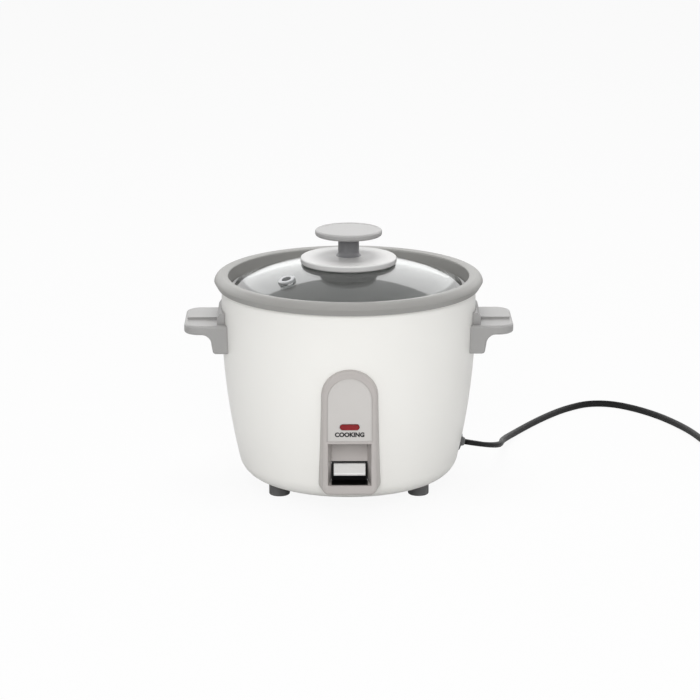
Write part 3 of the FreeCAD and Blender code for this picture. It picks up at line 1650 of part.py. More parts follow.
def route_edges(points):
    """Straight runs joined by arcs as large as the runs allow, and the arcs' radii."""
    edges = []
    radii = []
    place_now = points[0]
    for before, corner, after in zip(points, points[1:], points[2:]):
        arrive = (corner - before).normalize()
        leave = (after - corner).normalize()
        trim = 0.45 * min((corner - before).Length, (after - corner).Length)
        half_turn = arrive.getAngle(leave) / 2.0
        radius = trim / math.tan(half_turn)
        centre = corner + (leave - arrive).normalize() * (radius / math.cos(half_turn))
        middle = centre + (corner - centre).normalize() * radius
        first, last = corner - arrive * trim, corner + leave * trim
        edges.append(Part.LineSegment(place_now, first).toShape())
        edges.append(Part.Arc(first, middle, last).toShape())
        radii.append(radius)
        place_now = last
    edges.append(Part.LineSegment(place_now, points[-1]).toShape())
    return edges, radii


def cord():
    point, normal, facing = grommet_frame()
    leave = along(point, normal, S.grommet_nose_length)
    first_run = along(leave, normal, S.cord_first_run)
    coil_start = coil_point(0)
    arrive = coil_direction(0)
    last_run = coil_start - arrive * S.cord_last_run.value
    points = [Vector(*[size.value for size in leave]), Vector(*[size.value for size in first_run])]
    points += [Vector(*corner) for corner in CORD_POINTS]
    points += [last_run, coil_start]
    edges, radii = route_edges(points)
    radius = S.cord_radius.value
    outward = (points[1] - points[0]).normalize()
    solid, path, match = tube(edges, points[0], outward, radius)
    print("cord route:", "; ".join(f"{p.x:.1f} {p.y:.1f} {p.z:.1f}" for p in points))
    print("cord bend radii:", ", ".join(f"{bend:.0f}" for bend in radii))
    print(f"cord_lead: length {path.Length:.0f} mm, volume to section by length {match:.4f}")
    piece("cord_lead", feature("cord_lead", solid))
    turns = coil_turns()
    end, way = coil_point(turns), coil_direction(turns)
    tail = Part.LineSegment(end, end + way * S.coil_tail.value).toShape()
    coil, coil_path, match = tube(winding(coil_point, turns) + [tail], coil_start, arrive, radius)
    samples = [coil_point(index / 60.0) for index in range(int(turns * 60) + 1)]
    gap = least_gap(samples, radius * 2, math.pi * S.coil_outer_radius.value)
    print(f"cord_coil: least gap to itself {gap:.2f} mm, length {coil_path.Length:.0f} mm,"
          f" volume to section by length {match:.4f}")
    print(f"cord in all: {path.Length + coil_path.Length:.0f} mm")
    piece("cord_coil", feature("cord_coil", coil))


def cord_tie():
    """A flat band round both layers of the coil, where no turn climbs."""
    outer = S.coil_outer_radius - S.coil_pitch * S.tie_turn + S.cord_radius + S.running_gap
    inner_turn = S.coil_layer_turns - S.tie_turn
    inner = S.coil_outer_radius - S.coil_pitch * inner_turn - S.cord_radius - S.running_gap
    low = S.coil_z - S.cord_radius - S.running_gap
    high = S.coil_z + S.coil_layer_step + S.cord_radius + S.running_gap
    band = S.tie_thickness
    half = S.tie_half_width
    block = box("tie_block", (inner - band, -half, low - band), (outer + band, half, high + band))
    hollow = box("tie_hollow", (inner, -half, low), (outer, half, high))
    tie = cut("cord_tie", block, hollow)
    place(tie, S.coil_centre_x, S.coil_centre_y, 0, Rotation(UP, S.tie_angle.value))
    tie.setExpression("Placement.Rotation.Angle", S.tie_angle.formula)
    piece("cord_tie", tie)


def plug():
    turns = coil_turns()
    way = coil_direction(turns)
    at = coil_point(turns) + way * S.coil_tail.value
    facing = Rotation(UP, math.degrees(math.atan2(way.y, way.x)))
    boot_length, length = S.plug_boot_length, S.plug_length
    boot = turned("plug_boot", [
        (0, 0),
        (S.cord_radius + S.fit, 0),
        (S.plug_boot_radius, boot_length),
        (0, boot_length),
    ])
    boot.Placement = FreeCAD.Placement(Vector(0, 0, 0), TO_X)
    block = extruded("plug_block", "YZ_Plane", [
        (-S.plug_half_width, -S.plug_half_height),
        (S.plug_half_width, -S.plug_half_height),
        (S.plug_half_width, S.plug_half_height),
        (-S.plug_half_width, S.plug_half_height),
    ], length)
    rounded(block, S.plug_edge_bend, lambda middle, along: same(abs(along.x), 1))
    place(block, boot_length + length / 2, 0, 0)
    blades = []
    face = boot_length + length
    for index, side in enumerate((-1, 1)):
        middle = S.blade_spacing / 2 * side
        blades.append(box(f"blade_{index}", (face, -S.blade_width / 2, middle - S.blade_thickness / 2),
                          (face + S.blade_length, S.blade_width / 2, middle + S.blade_thickness / 2)))
    for label, solid in (("plug_body", joined("plug_body", boot, block)),
                         ("plug_blades", grouped("plug_blades", blades))):
        solid.Placement = FreeCAD.Placement(at, facing)
        piece(label, solid)


def build():
    outer_shell()
    rim_ring()
    heat_shield()
    base_plate()
    feet()
    shell_screws()
    handles()
    panel_frame()
    panel_trim()
    lamp()
    switch_surround()
    switch_arm()
    switch_key()
    lever_bracket()
    micro_switch()
    heater()
    heater_element()
    sensor()
    magnet()
    inner_pan()
    lid_glass()
    steam_vent()
    lid_saucer()
    lid_stem()
    lid_knob()
    lid_fastening()
    supply()
    cord()
    cord_tie()
    plug()


def write_pieces():
    """Check every object, then write each piece to a file under its name."""
    doc.recompute()
    for item in doc.Objects:
        if "Invalid" in item.State or "Error" in item.State:
            raise RuntimeError(f"{item.Label} failed: {item.State}")
    os.makedirs("parts", exist_ok=True)
    for item in PIECES:
        if item.Shape.isNull() or not item.Shape.isValid():
            raise RuntimeError(f"{item.Label} has no sound shape")
    for item in PIECES:
        item.Shape.exportStep(f"parts/{item.Label}.step")


build()
write_pieces()
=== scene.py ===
import math

import bmesh
import bpy
from mathutils import Matrix, Vector


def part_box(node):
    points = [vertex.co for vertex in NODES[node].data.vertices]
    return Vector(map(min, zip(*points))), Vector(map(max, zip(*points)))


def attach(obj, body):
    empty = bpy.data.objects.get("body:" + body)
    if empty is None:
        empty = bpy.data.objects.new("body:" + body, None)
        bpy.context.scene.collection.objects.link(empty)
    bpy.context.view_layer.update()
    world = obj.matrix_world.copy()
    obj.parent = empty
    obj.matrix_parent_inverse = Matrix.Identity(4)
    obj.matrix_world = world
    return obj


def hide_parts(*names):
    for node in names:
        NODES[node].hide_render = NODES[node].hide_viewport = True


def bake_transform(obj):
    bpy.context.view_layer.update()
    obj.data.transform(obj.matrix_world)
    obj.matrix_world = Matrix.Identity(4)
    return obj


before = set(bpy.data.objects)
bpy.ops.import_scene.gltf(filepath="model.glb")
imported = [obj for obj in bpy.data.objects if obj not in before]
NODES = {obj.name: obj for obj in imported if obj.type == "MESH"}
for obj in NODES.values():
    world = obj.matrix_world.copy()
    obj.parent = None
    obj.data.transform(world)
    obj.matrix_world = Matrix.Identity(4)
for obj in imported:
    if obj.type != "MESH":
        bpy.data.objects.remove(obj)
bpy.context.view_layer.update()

MM = 0.001
SAME_PLACE = 1e-6

# Shading of the CAD nodes: the seam that is closed, in metres, and the sharpest angle that is smoothed
SEAM_GAP = 2e-6
KEPT_EDGE_ANGLE = 28.0

# Mains lead: the route of the CAD tube, in millimetres
CORD_ROUTE = (
    (83.85, 14.79, 25.70),
    (95.39, 16.82, 23.11),
    (104.5, 23.0, 20.5),
    (110.5, 33.0, 18.0),
    (113.0, 48.0, 14.8),
    (114.5, 67.0, 10.6),
    (118.0, 88.0, 6.4),
    (125.0, 109.0, 3.6),
    (136.0, 131.0, 2.8),
    (150.0, 154.0, 2.8),
    (166.0, 176.5, 2.8),
    (180.0, 190.5, 2.8),
    (190.5, 197.5, 2.8),
    (203.0, 198.5, 2.8),
    (215.0, 193.5, 2.8),
    (228.5, 181.0, 2.8),
    (242.0, 163.0, 2.8),
    (253.0, 141.0, 3.0),
    (261.5, 117.0, 3.6),
    (266.9, 93.0, 4.2),
)
CORD_WIDTH = 5.2
CORD_CORE_RADIUS = 1.85
CORD_TWIST_LENGTH = 70.0
COIL_CENTRE = (303.0, 75.0)
COIL_LOW_Z = 4.2
COIL_LAYER_STEP = 5.9
COIL_START_ANGLE = 190.0
COIL_OUTER_RADIUS = 31.7
COIL_PITCH = 5.9
COIL_LAYER_TURNS = 1.5
COIL_CLIMB_TURNS = 0.5
COIL_TAIL = 14.0
COIL_POINTS_PER_TURN = 16
TINY_TURN = 0.001

# Springs: turns and wire radius of the two, and how finely they are drawn
SENSOR_SPRING_TURNS = 6.0
SENSOR_SPRING_WIRE = 0.55
MAGNET_SPRING_TURNS = 4.0
MAGNET_SPRING_WIRE = 0.4
SPRING_STEPS_PER_TURN = 32
SPRING_SECTION_STEPS = 8

# Camera, from the photograph's perspective
CAMERA_LENS = 144.2
CAMERA_TARGET = (0.001, 0.0, 0.0982)
CAMERA_ELEVATION = 14.5
CAMERA_AZIMUTH = -0.5
CAMERA_DISTANCE = 2.0

# Levels of the studio: soft room light, the wall behind the cooker as its mirrors see it, low and high, and
# the ceiling, which starts where the sine of the elevation reaches a value
ROOM_LEVEL = 0.42
WALL_GLOW = 1.2
STRIP_GLOW = 2.8
STRIP_FOOT = 0.1
STRIP_HEAD = 0.58
WALL_SIDE = 0.3
CEILING_GLOW = 0.22
CEILING_START = 0.6
CEILING_BLUR = 0.01
FLOOR_HALF = 8.0
FLOOR_WHITE_SHARE = 0.92

# Studio lights, in metres and watts
LIGHT_AIM = (0.0, 0.0, 0.1)
FRONT_LIGHT_PLACE = (-0.1, -2.4, 1.45)
FRONT_LIGHT_SIZE = 1.2
FRONT_LIGHT_POWER = 32.0
TOP_LIGHT_PLACE = (0.0, 0.1, 2.2)
TOP_LIGHT_SIZE = 1.4
TOP_LIGHT_POWER = 23.0


# Colours and nodes


def linear(code):
    """An sRGB hex colour as linear light."""
    parts = [int(code[place:place + 2], 16) / 255.0 for place in (0, 2, 4)]
    light = [part / 12.92 if part <= 0.04045 else ((part + 0.055) / 1.055) ** 2.4 for part in parts]
    return (*light, 1.0)


def per_mm(size):
    """The scale that gives a pattern features of a size in millimetres on Object coordinates in metres."""
    return 1.0 / (size * MM)


def add(tree, kind, inputs=None, **settings):
    """A new node with its settings; inputs are numbers, colours or the sockets that feed them."""
    node = tree.nodes.new(kind)
    for name, value in settings.items():
        setattr(node, name, value)
    for name, value in (inputs or {}).items():
        if isinstance(value, bpy.types.NodeSocket):
            tree.links.new(value, node.inputs[name])
        else:
            node.inputs[name].default_value = value
    return node


def new_material(name):
    """An empty node material, its tree and its output."""
    material = bpy.data.materials.new(name)
    material.use_nodes = True
    material.node_tree.nodes.clear()
    output = add(material.node_tree, "ShaderNodeOutputMaterial")
    return material, material.node_tree, output


def grained(tree, grain_mm, depth_mm, strength, detail=3.0):
    """A fine even grain: the noise itself and the bump that it gives."""
    place = add(tree, "ShaderNodeTexCoord").outputs["Object"]
    grain = add(tree, "ShaderNodeTexNoise", {"Vector": place, "Scale": per_mm(grain_mm), "Detail": detail})
    bump = add(tree, "ShaderNodeBump", {"Height": grain.outputs["Fac"], "Distance": depth_mm * MM,
                                        "Strength": strength})
    return grain.outputs["Fac"], bump.outputs["Normal"]


def drifting(tree, first, second, patch_mm):
    """A slow drift between two close colours, in patches of a size in millimetres."""
    place = add(tree, "ShaderNodeTexCoord").outputs["Object"]
    cloud = add(tree, "ShaderNodeTexNoise", {"Vector": place, "Scale": per_mm(patch_mm), "Detail": 2.0})
    ramp = add(tree, "ShaderNodeValToRGB", {"Fac": cloud.outputs["Fac"]})
    ramp.color_ramp.elements[0].position = 0.35
    ramp.color_ramp.elements[0].color = linear(first)
    ramp.color_ramp.elements[1].position = 0.65
    ramp.color_ramp.elements[1].color = linear(second)
    return ramp.outputs["Color"]


def spread(tree, source, low, high):
    """A roughness between two values, following a noise."""
    reach = add(tree, "ShaderNodeMapRange", {"Value": source, "From Min": 0.3, "From Max": 0.7,
                                             "To Min": low, "To Max": high})
    return reach.outputs["Result"]


def moulded(name, first, second, rough, grain_mm, depth_mm, coat=0.0):
    """Injection-moulded plastic: a nearly even colour with a fine spark-eroded grain from the tool."""
    material, tree, output = new_material(name)
    grain, normal = grained(tree, grain_mm, depth_mm, 0.5)
    shader = add(tree, "ShaderNodeBsdfPrincipled", {
        "Base Color": drifting(tree, first, second, 60.0),
        "Roughness": spread(tree, grain, rough - 0.05, rough + 0.05),
        "Normal": normal,
        "IOR": 1.5,
        "Coat Weight": coat,
        "Coat Roughness": 0.2,
    })
    tree.links.new(shader.outputs["BSDF"], output.inputs["Surface"])
    return material


def worked_metal(name, first, second, rough, line_mm, stretch, metallic=1.0):
    """Pressed or turned metal: fine tool lines that spread the highlight along one way.

    A coated or anodised metal is less metallic.
    """
    material, tree, output = new_material(name)
    place = add(tree, "ShaderNodeTexCoord").outputs["Object"]
    lines = add(tree, "ShaderNodeMapping", {"Vector": place, "Scale": stretch})
    marks = add(tree, "ShaderNodeTexNoise", {"Vector": lines.outputs["Vector"], "Scale": per_mm(line_mm),
                                             "Detail": 4.0})
    bump = add(tree, "ShaderNodeBump", {"Height": marks.outputs["Fac"], "Distance": 0.02 * MM,
                                        "Strength": 0.4})
    shader = add(tree, "ShaderNodeBsdfPrincipled", {
        "Base Color": drifting(tree, first, second, 25.0),
        "Metallic": metallic,
        "Roughness": spread(tree, marks.outputs["Fac"], rough - 0.08, rough + 0.08),
        "Normal": bump.outputs["Normal"],
    })
    tree.links.new(shader.outputs["BSDF"], output.inputs["Surface"])
    return material


def stoved_enamel():
    """Stoved white enamel on drawn steel: a smooth, faintly warm white with a trace of orange peel."""
    material, tree, output = new_material("stoved_white_enamel")
    peel, normal = grained(tree, 2.2, 0.02, 0.35, 1.0)
    shader = add(tree, "ShaderNodeBsdfPrincipled", {
        "Base Color": drifting(tree, "f2f1ed", "f0efeb", 90.0),
        "Roughness": spread(tree, peel, 0.36, 0.44),
        "Normal": normal,
        "IOR": 1.5,
        "Coat Weight": 0.15,
        "Coat Roughness": 0.25,
    })
    tree.links.new(shader.outputs["BSDF"], output.inputs["Surface"])
    return material


def lid_pane():
    """Toughened soda-lime glass: clear, faintly grey-green, with a trace of haze that mirrors sharply."""
    material, tree, output = new_material("toughened_lid_glass")
    place = add(tree, "ShaderNodeTexCoord").outputs["Object"]
    haze = add(tree, "ShaderNodeTexNoise", {"Vector": place, "Scale": per_mm(18.0), "Detail": 2.0})
    shader = add(tree, "ShaderNodeBsdfPrincipled", {
        "Base Color": drifting(tree, "f7f9f8", "f5f8f7", 40.0),
        "Roughness": spread(tree, haze.outputs["Fac"], 0.0, 0.02),
        "IOR": 1.5,
        "Transmission Weight": 1.0,
    })
    tree.links.new(shader.outputs["BSDF"], output.inputs["Surface"])
    return material


def lamp_red():
    """Red polystyrene over an unlit lamp: a deep red with soft waves and a small highlight."""
    material, tree, output = new_material("red_polystyrene_lens")
    normal = grained(tree, 3.0, 0.04, 0.3, 0.0)[1]
    shader = add(tree, "ShaderNodeBsdfPrincipled", {
        "Base Color": drifting(tree, "7c0f15", "88151b", 4.0),
        "Roughness": 0.16,
        "IOR": 1.59,
        "Specular IOR Level": 0.3,
        "Normal": normal,
    })
    tree.links.new(shader.outputs["BSDF"], output.inputs["Surface"])
    return material


def bulb_glass():
    """Thin lamp glass with the pale haze of a neon bulb."""
    material, tree, output = new_material("neon_bulb_glass")
    normal = grained(tree, 2.0, 0.02, 0.2, 1.0)[1]
    shader = add(tree, "ShaderNodeBsdfPrincipled", {
        "Base Color": drifting(tree, "f2e3d6", "e8d6c8", 3.0),
        "Roughness": 0.1,
        "IOR": 1.47,
        "Transmission Weight": 0.7,
        "Normal": normal,
    })
    tree.links.new(shader.outputs["BSDF"], output.inputs["Surface"])
    return material


def cord_sheath():
    """Extruded black PVC: satin, with faint die lines along the lead."""
    material, tree, output = new_material("extruded_black_pvc")
    run = add(tree, "ShaderNodeUVMap", uv_map="along")
    # Die lines are about 0.1 mm apart on the real lead and are drawn at 0.4 mm so that they show
    lines = add(tree, "ShaderNodeMapping", {"Vector": run.outputs["UV"], "Scale": (40.0, 0.6, 1.0)})
    marks = add(tree, "ShaderNodeTexNoise", {"Vector": lines.outputs["Vector"], "Scale": 1.0, "Detail": 2.0})
    bump = add(tree, "ShaderNodeBump", {"Height": marks.outputs["Fac"], "Distance": 0.08 * MM,
                                        "Strength": 0.6})
    shader = add(tree, "ShaderNodeBsdfPrincipled", {
        "Base Color": drifting(tree, "0e0e0e", "141414", 30.0),
        "Roughness": spread(tree, marks.outputs["Fac"], 0.45, 0.6),
        "Normal": bump.outputs["Normal"],
        "IOR": 1.53,
        "Specular IOR Level": 0.25,
    })
    tree.links.new(shader.outputs["BSDF"], output.inputs["Surface"])
    return material


# Shapes


def loose_piece(name, mesh, material):
    """A finished mesh as a piece of the object, which no body carries yet."""
    piece = bpy.data.objects.new(name, mesh)
    bpy.context.scene.collection.objects.link(piece)
    piece.data.materials.clear()
    piece.data.materials.append(material)
    return piece


def mesh_piece(name, mesh, material, body):
    """A finished mesh as a piece of the object that moves with a body."""
    piece = loose_piece(name, mesh, material)
    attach(piece, body)
    return piece


def coil_point(turn):
    """A point of the coil after a number of turns: inwards, up a layer, and outwards again."""
    inner = COIL_OUTER_RADIUS - COIL_PITCH * COIL_LAYER_TURNS
    height = COIL_LOW_Z
    if turn <= COIL_LAYER_TURNS:
        radius = COIL_OUTER_RADIUS - COIL_PITCH * turn
    elif turn >= COIL_LAYER_TURNS + COIL_CLIMB_TURNS:
        radius = inner + COIL_PITCH * (turn - COIL_LAYER_TURNS - COIL_CLIMB_TURNS)
        height += COIL_LAYER_STEP
    else:
        climbed = (turn - COIL_LAYER_TURNS) / COIL_CLIMB_TURNS
        radius = inner - COIL_PITCH * COIL_CLIMB_TURNS * climbed * (1 - climbed)
        height += COIL_LAYER_STEP * climbed * climbed * (3 - 2 * climbed)
    angle = math.radians(COIL_START_ANGLE) + 2 * math.pi * turn
    centre_x, centre_y = COIL_CENTRE
    return Vector((centre_x + radius * math.cos(angle), centre_y + radius * math.sin(angle), height))


def coil_points():
    """The coil's control points and the straight tail that ends in the plug."""
    turns = 2 * COIL_LAYER_TURNS + COIL_CLIMB_TURNS
    count = int(turns * COIL_POINTS_PER_TURN)
    points = [coil_point(turns * index / count) for index in range(count + 1)]
    way = (coil_point(turns + TINY_TURN) - coil_point(turns - TINY_TURN)).normalized()
    return points + [points[-1] + way * COIL_TAIL * share for share in (0.5, 1.0)]


def spline_line(points):
    """Points along the smooth NURBS line that has these control points."""
    curve = bpy.data.curves.new("lead_line", "CURVE")
    curve.dimensions = "3D"
    curve.resolution_u = 6
    spline = curve.splines.new("NURBS")
    spline.points.add(len(points) - 1)
    for control, point in zip(spline.points, points):
        control.co = (*(point * MM), 1.0)
    spline.order_u = 3
    spline.use_endpoint_u = True
    holder = bpy.data.objects.new("lead_line", curve)
    bpy.context.scene.collection.objects.link(holder)
    graph = bpy.context.evaluated_depsgraph_get()
    line = bpy.data.meshes.new_from_object(holder.evaluated_get(graph))
    line_points = [vertex.co.copy() for vertex in line.vertices]
    bpy.data.objects.remove(holder)
    bpy.data.meshes.remove(line)
    apart = line_points[:1]
    for before, point in zip(line_points, line_points[1:]):
        if (point - before).length > SAME_PLACE:
            apart.append(point)
    return apart


def twin_section():
    """The section of a flat two-core lead: two round cores side by side, as (across, up) in millimetres."""
    shift = CORD_WIDTH / 2 - CORD_CORE_RADIUS
    groove = math.acos(shift / CORD_CORE_RADIUS)
    steps = 9
    half = []
    for index in range(steps):
        angle = (groove - math.pi) + 2 * (math.pi - groove) * index / (steps - 1)
        half.append((shift + CORD_CORE_RADIUS * math.cos(angle), CORD_CORE_RADIUS * math.sin(angle)))
    return half + [(-across, -up) for across, up in half[1:-1]]


def swept_cord(points):
    """A flat lead along a line: lying flat where it leaves the grommet, then turning onto its edge."""
    section = twin_section()
    mesh = bpy.data.meshes.new("mains_lead")
    shape = bmesh.new()
    layer = shape.loops.layers.uv.new("along")
    rings = []
    lengths = [0.0]
    for before, after in zip(points, points[1:]):
        lengths.append(lengths[-1] + (after - before).length / MM)
    for index, point in enumerate(points):
        ahead = points[min(index + 1, len(points) - 1)] - points[max(index - 1, 0)]
        ahead.normalize()
        side = ahead.cross(Vector((0, 0, 1))).normalized()
        rise = side.cross(ahead)
        share = min(lengths[index] / CORD_TWIST_LENGTH, 1.0)
        turn = math.pi / 2 * share * share * (3 - 2 * share)
        wide = side * math.cos(turn) + rise * math.sin(turn)
        thick = ahead.cross(wide)
        rings.append([shape.verts.new(point + (wide * across + thick * up) * MM) for across, up in section])
    count = len(section)
    for index, (ring, following) in enumerate(zip(rings, rings[1:])):
        for corner in range(count):
            after = (corner + 1) % count
            face = shape.faces.new((ring[corner], ring[after], following[after], following[corner]))
            face.smooth = True
            places = ((corner, index), (corner + 1, index), (corner + 1, index + 1), (corner, index + 1))
            for loop, (around, along) in zip(face.loops, places):
                loop[layer].uv = (around / count, lengths[along])
    shape.faces.new(list(reversed(rings[0])))
    shape.faces.new(rings[-1])
    bmesh.ops.recalc_face_normals(shape, faces=shape.faces)
    shape.to_mesh(mesh)
    shape.free()
    return mesh


def evaluated_mesh(tree, values, name, points=()):
    """The plain mesh that a geometry tree gives for named input values, on points in millimetres."""
    seats = bpy.data.meshes.new(name)
    seats.from_pydata([Vector(point) * MM for point in points], [], [])
    holder = bpy.data.objects.new(name, seats)
    bpy.context.scene.collection.objects.link(holder)
    modifier = holder.modifiers.new("shape", "NODES")
    modifier.node_group = tree
    for item in tree.interface.items_tree:
        if item.item_type == "SOCKET" and item.in_out == "INPUT" and item.name in values:
            modifier[item.identifier] = values[item.name]
    graph = bpy.context.evaluated_depsgraph_get()
    mesh = bpy.data.meshes.new_from_object(holder.evaluated_get(graph))
    bpy.data.objects.remove(holder)
    return mesh


def new_shape_tree(name, sockets):
    """An empty geometry tree with named inputs, its input node and its output socket."""
    tree = bpy.data.node_groups.new(name, "GeometryNodeTree")
    for label, kind in sockets:
        tree.interface.new_socket(label, in_out="INPUT", socket_type=kind)
    tree.interface.new_socket("Geometry", in_out="OUTPUT", socket_type="NodeSocketGeometry")
    return tree, add(tree, "NodeGroupInput").outputs


def end_shape_tree(tree, instances, material):
    """Make instances real, give them their finish and hand them out."""
    solid = add(tree, "GeometryNodeRealizeInstances", {"Geometry": instances})
    painted = add(tree, "GeometryNodeSetMaterial", {"Geometry": solid.outputs["Geometry"],
                                                    "Material": material})
    add(tree, "NodeGroupOutput", {"Geometry": painted.outputs["Geometry"]})
    return tree


def finger_ribs_tree(material):
    """A row of short bars, evenly spaced along X: the finger ribs of a moulded plug."""
    tree, given = new_shape_tree("finger_ribs", (
        ("Count", "NodeSocketInt"), ("Pitch", "NodeSocketFloat"), ("Bar", "NodeSocketVector")))
    step = add(tree, "ShaderNodeCombineXYZ", {"X": given["Pitch"]})
    row = add(tree, "GeometryNodeMeshLine", {"Count": given["Count"], "Offset": step.outputs["Vector"]})
    bar = add(tree, "GeometryNodeMeshCube", {"Size": given["Bar"]})
    bars = add(tree, "GeometryNodeInstanceOnPoints", {"Points": row.outputs["Mesh"],
                                                      "Instance": bar.outputs["Mesh"]})
    return end_shape_tree(tree, bars.outputs["Instances"], material)


def painted_shade_crosses_tree(material):
    """A thin black cross on each of some screw heads: painted shade where a driver recess would be in shadow.
    """
    tree, given = new_shape_tree("painted_shade_crosses", (
        ("Heads", "NodeSocketGeometry"), ("Along", "NodeSocketVector"), ("Across", "NodeSocketVector")))
    first = add(tree, "GeometryNodeMeshCube", {"Size": given["Along"]})
    second = add(tree, "GeometryNodeMeshCube", {"Size": given["Across"]})
    cross = add(tree, "GeometryNodeJoinGeometry")
    for arm in (first, second):
        tree.links.new(arm.outputs["Mesh"], cross.inputs["Geometry"])
    marks = add(tree, "GeometryNodeInstanceOnPoints", {"Points": given["Heads"],
                                                       "Instance": cross.outputs["Geometry"]})
    return end_shape_tree(tree, marks.outputs["Instances"], material)


def wire_spring_tree(material):
    """A round wire wound round Z, from its first turn at the bottom to its last at the top."""
    tree, given = new_shape_tree("wire_spring", (
        ("Turns", "NodeSocketFloat"), ("Radius", "NodeSocketFloat"), ("Height", "NodeSocketFloat"),
        ("Wire", "NodeSocketFloat")))
    line = add(tree, "GeometryNodeCurveSpiral", {
        "Resolution": SPRING_STEPS_PER_TURN,
        "Rotations": given["Turns"],
        "Start Radius": given["Radius"],
        "End Radius": given["Radius"],
        "Height": given["Height"],
    })
    section = add(tree, "GeometryNodeCurvePrimitiveCircle", {"Resolution": SPRING_SECTION_STEPS,
                                                             "Radius": given["Wire"]})
    wound = add(tree, "GeometryNodeCurveToMesh", {
        "Curve": line.outputs["Curve"],
        "Profile Curve": section.outputs["Curve"],
        "Fill Caps": True,
    })
    return end_shape_tree(tree, wound.outputs["Mesh"], material)


def wire_spring(node, tree, turns, wire, material):
    """A spring in the place of a CAD node, from the node's own box, with its faces outwards."""
    low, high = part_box(node)
    thick = wire * MM
    mesh = evaluated_mesh(tree, {"Turns": turns, "Radius": (high.x - low.x) / 2 - thick,
                                 "Height": high.z - low.z - 2 * thick, "Wire": thick}, node + "_coil")
    mesh.transform(Matrix.Translation((0.0, 0.0, low.z + thick)))
    shape = bmesh.new()
    shape.from_mesh(mesh)
    bmesh.ops.recalc_face_normals(shape, faces=shape.faces)
    shape.to_mesh(mesh)
    shape.free()
    mesh.shade_smooth()
    piece = loose_piece(node + "_coil", mesh, material)
    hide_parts(node)
    return piece, (0.0, 0.0, low.z), (0.0, 0.0, high.z)


def smooth_cad(node):
    """Even shading over a CAD node's curved faces, with its real edges kept."""
    node.data.shade_smooth()
    weld = node.modifiers.new("closed_seams", "WELD")
    weld.merge_threshold = SEAM_GAP
    edges = node.modifiers.new("kept_edges", "EDGE_SPLIT")
    edges.split_angle = math.radians(KEPT_EDGE_ANGLE)
    normals = node.modifiers.new("even_normals", "WEIGHTED_NORMAL")
    normals.keep_sharp = True


def finish_nodes(material, *names):
    """Give CAD nodes their finish."""
    for name in names:
        node = NODES[name]
        node.data.materials.clear()
        node.data.materials.append(material)
        smooth_cad(node)


# Finishes of the CAD nodes

enamel = stoved_enamel()
# Grained polypropylene: a soft mid grey whose highlight fades slowly round the rim
rim_plastic = moulded("grey_polypropylene_rim", "949390", "989794", 0.42, 0.7, 0.02)
# The same plastic from another tool: a little paler, with soft light on the flat tops
handle_plastic = moulded("grey_polypropylene_handles", "9b9a99", "9f9e9d", 0.4, 0.6, 0.015)
# Finer grained polypropylene: the dished top looks pale from above
knob_plastic = moulded("grey_polypropylene_knob", "a5a4a3", "a9a8a7", 0.38, 0.6, 0.015)
# Pale grey polypropylene: the lightest of the lid's greys, nearly white where it faces up
saucer_plastic = moulded("pale_grey_polypropylene_saucer", "d5d4d3", "d9d8d7", 0.4, 0.6, 0.015)
# A grey darker than the knob's, partly the stem's own plastic and partly painted shade under the knob: a dark
# waist between the knob and the saucer
stem_plastic_and_shade = moulded("dark_grey_stem_with_painted_shade", "78787a", "7c7c7e", 0.4, 0.6, 0.015)
# Moulded ABS: a warm grey beside the white of the shell
panel_plastic = moulded("warm_grey_abs_panel", "b5b0ad", "b9b4b1", 0.4, 0.6, 0.015)
# Smoother ABS: a paler, flatter grey than its frame
plate_plastic = moulded("pale_grey_panel_plate", "c7c4c1", "cbc8c5", 0.36, 0.5, 0.01)
# Moulded phenolic: a dull black that sets off the key; the same black is also painted shade in the screws'
# driver recesses
black_plastic_and_shade = moulded("black_phenolic_and_painted_shade", "0c0c0c", "121212", 0.5, 0.5, 0.02)
# Polished ABS: the one glossy white on the panel
key_plastic = moulded("white_abs_key", "f8f8f6", "fafaf8", 0.25, 0.8, 0.008, 0.3)
# Glazed steatite: ivory with a wet shine
ceramic = moulded("glazed_steatite", "e6e2d8", "ded9cd", 0.22, 1.2, 0.02, 0.4)
# Moulded rubber: dark grey and dull, without a clear highlight
rubber = moulded("moulded_grey_rubber", "626262", "686868", 0.6, 0.5, 0.03)
# Moulded PVC: black with a soft sheen on its corners
plug_pvc = moulded("moulded_black_pvc", "262626", "2c2c2c", 0.5, 0.6, 0.03)
# Tie film: black, with a slightly harder shine than the lead
tie_plastic = moulded("black_tie_film", "1a1a1a", "222222", 0.35, 0.8, 0.02)
# Pad-printed ink: flat black without depth
print_ink = moulded("black_pad_print", "0c0c0c", "101010", 0.5, 0.4, 0.005)
# Spun and anodised aluminium: an even grey that barely mirrors, with faint rings
pan_metal = worked_metal("anodised_aluminium_pan", "aeaead", "b4b4b3", 0.5, 0.6, (1.0, 1.0, 6.0), 0.15)
# Spun aluminium: bright metal with fine rings
cap_metal = worked_metal("spun_aluminium_cap", "9a9a99", "a0a09f", 0.45, 0.6, (1.0, 1.0, 6.0))
# Zinc-plated steel: cool grey metal with fine drawn lines
plain_steel = worked_metal("zinc_plated_steel", "a2a3a4", "acadae", 0.4, 0.5, (1.0, 4.0, 1.0))
# Pressed and anodised aluminium: a pale grey eyelet with a small bright edge
vent_metal = worked_metal("anodised_aluminium_eyelet", "a4a5a6", "abacad", 0.3, 0.5, (1.0, 1.0, 4.0), 0.3)
# Cast aluminium: a darker metal with a dull, uneven sheen
cast_metal = worked_metal("cast_aluminium_heater", "8c8c8b", "979796", 0.5, 0.8, (1.0, 1.0, 1.0))
# Sintered ferrite: nearly black, with a weak metallic sheen
ferrite = worked_metal("sintered_ferrite", "37373a", "404043", 0.6, 0.6, (1.0, 1.0, 1.0))
# Plated brass: pale gold that mirrors clearly
blade_brass = worked_metal("plated_brass_blades", "c9b88a", "d2c294", 0.25, 0.4, (1.0, 1.0, 5.0))

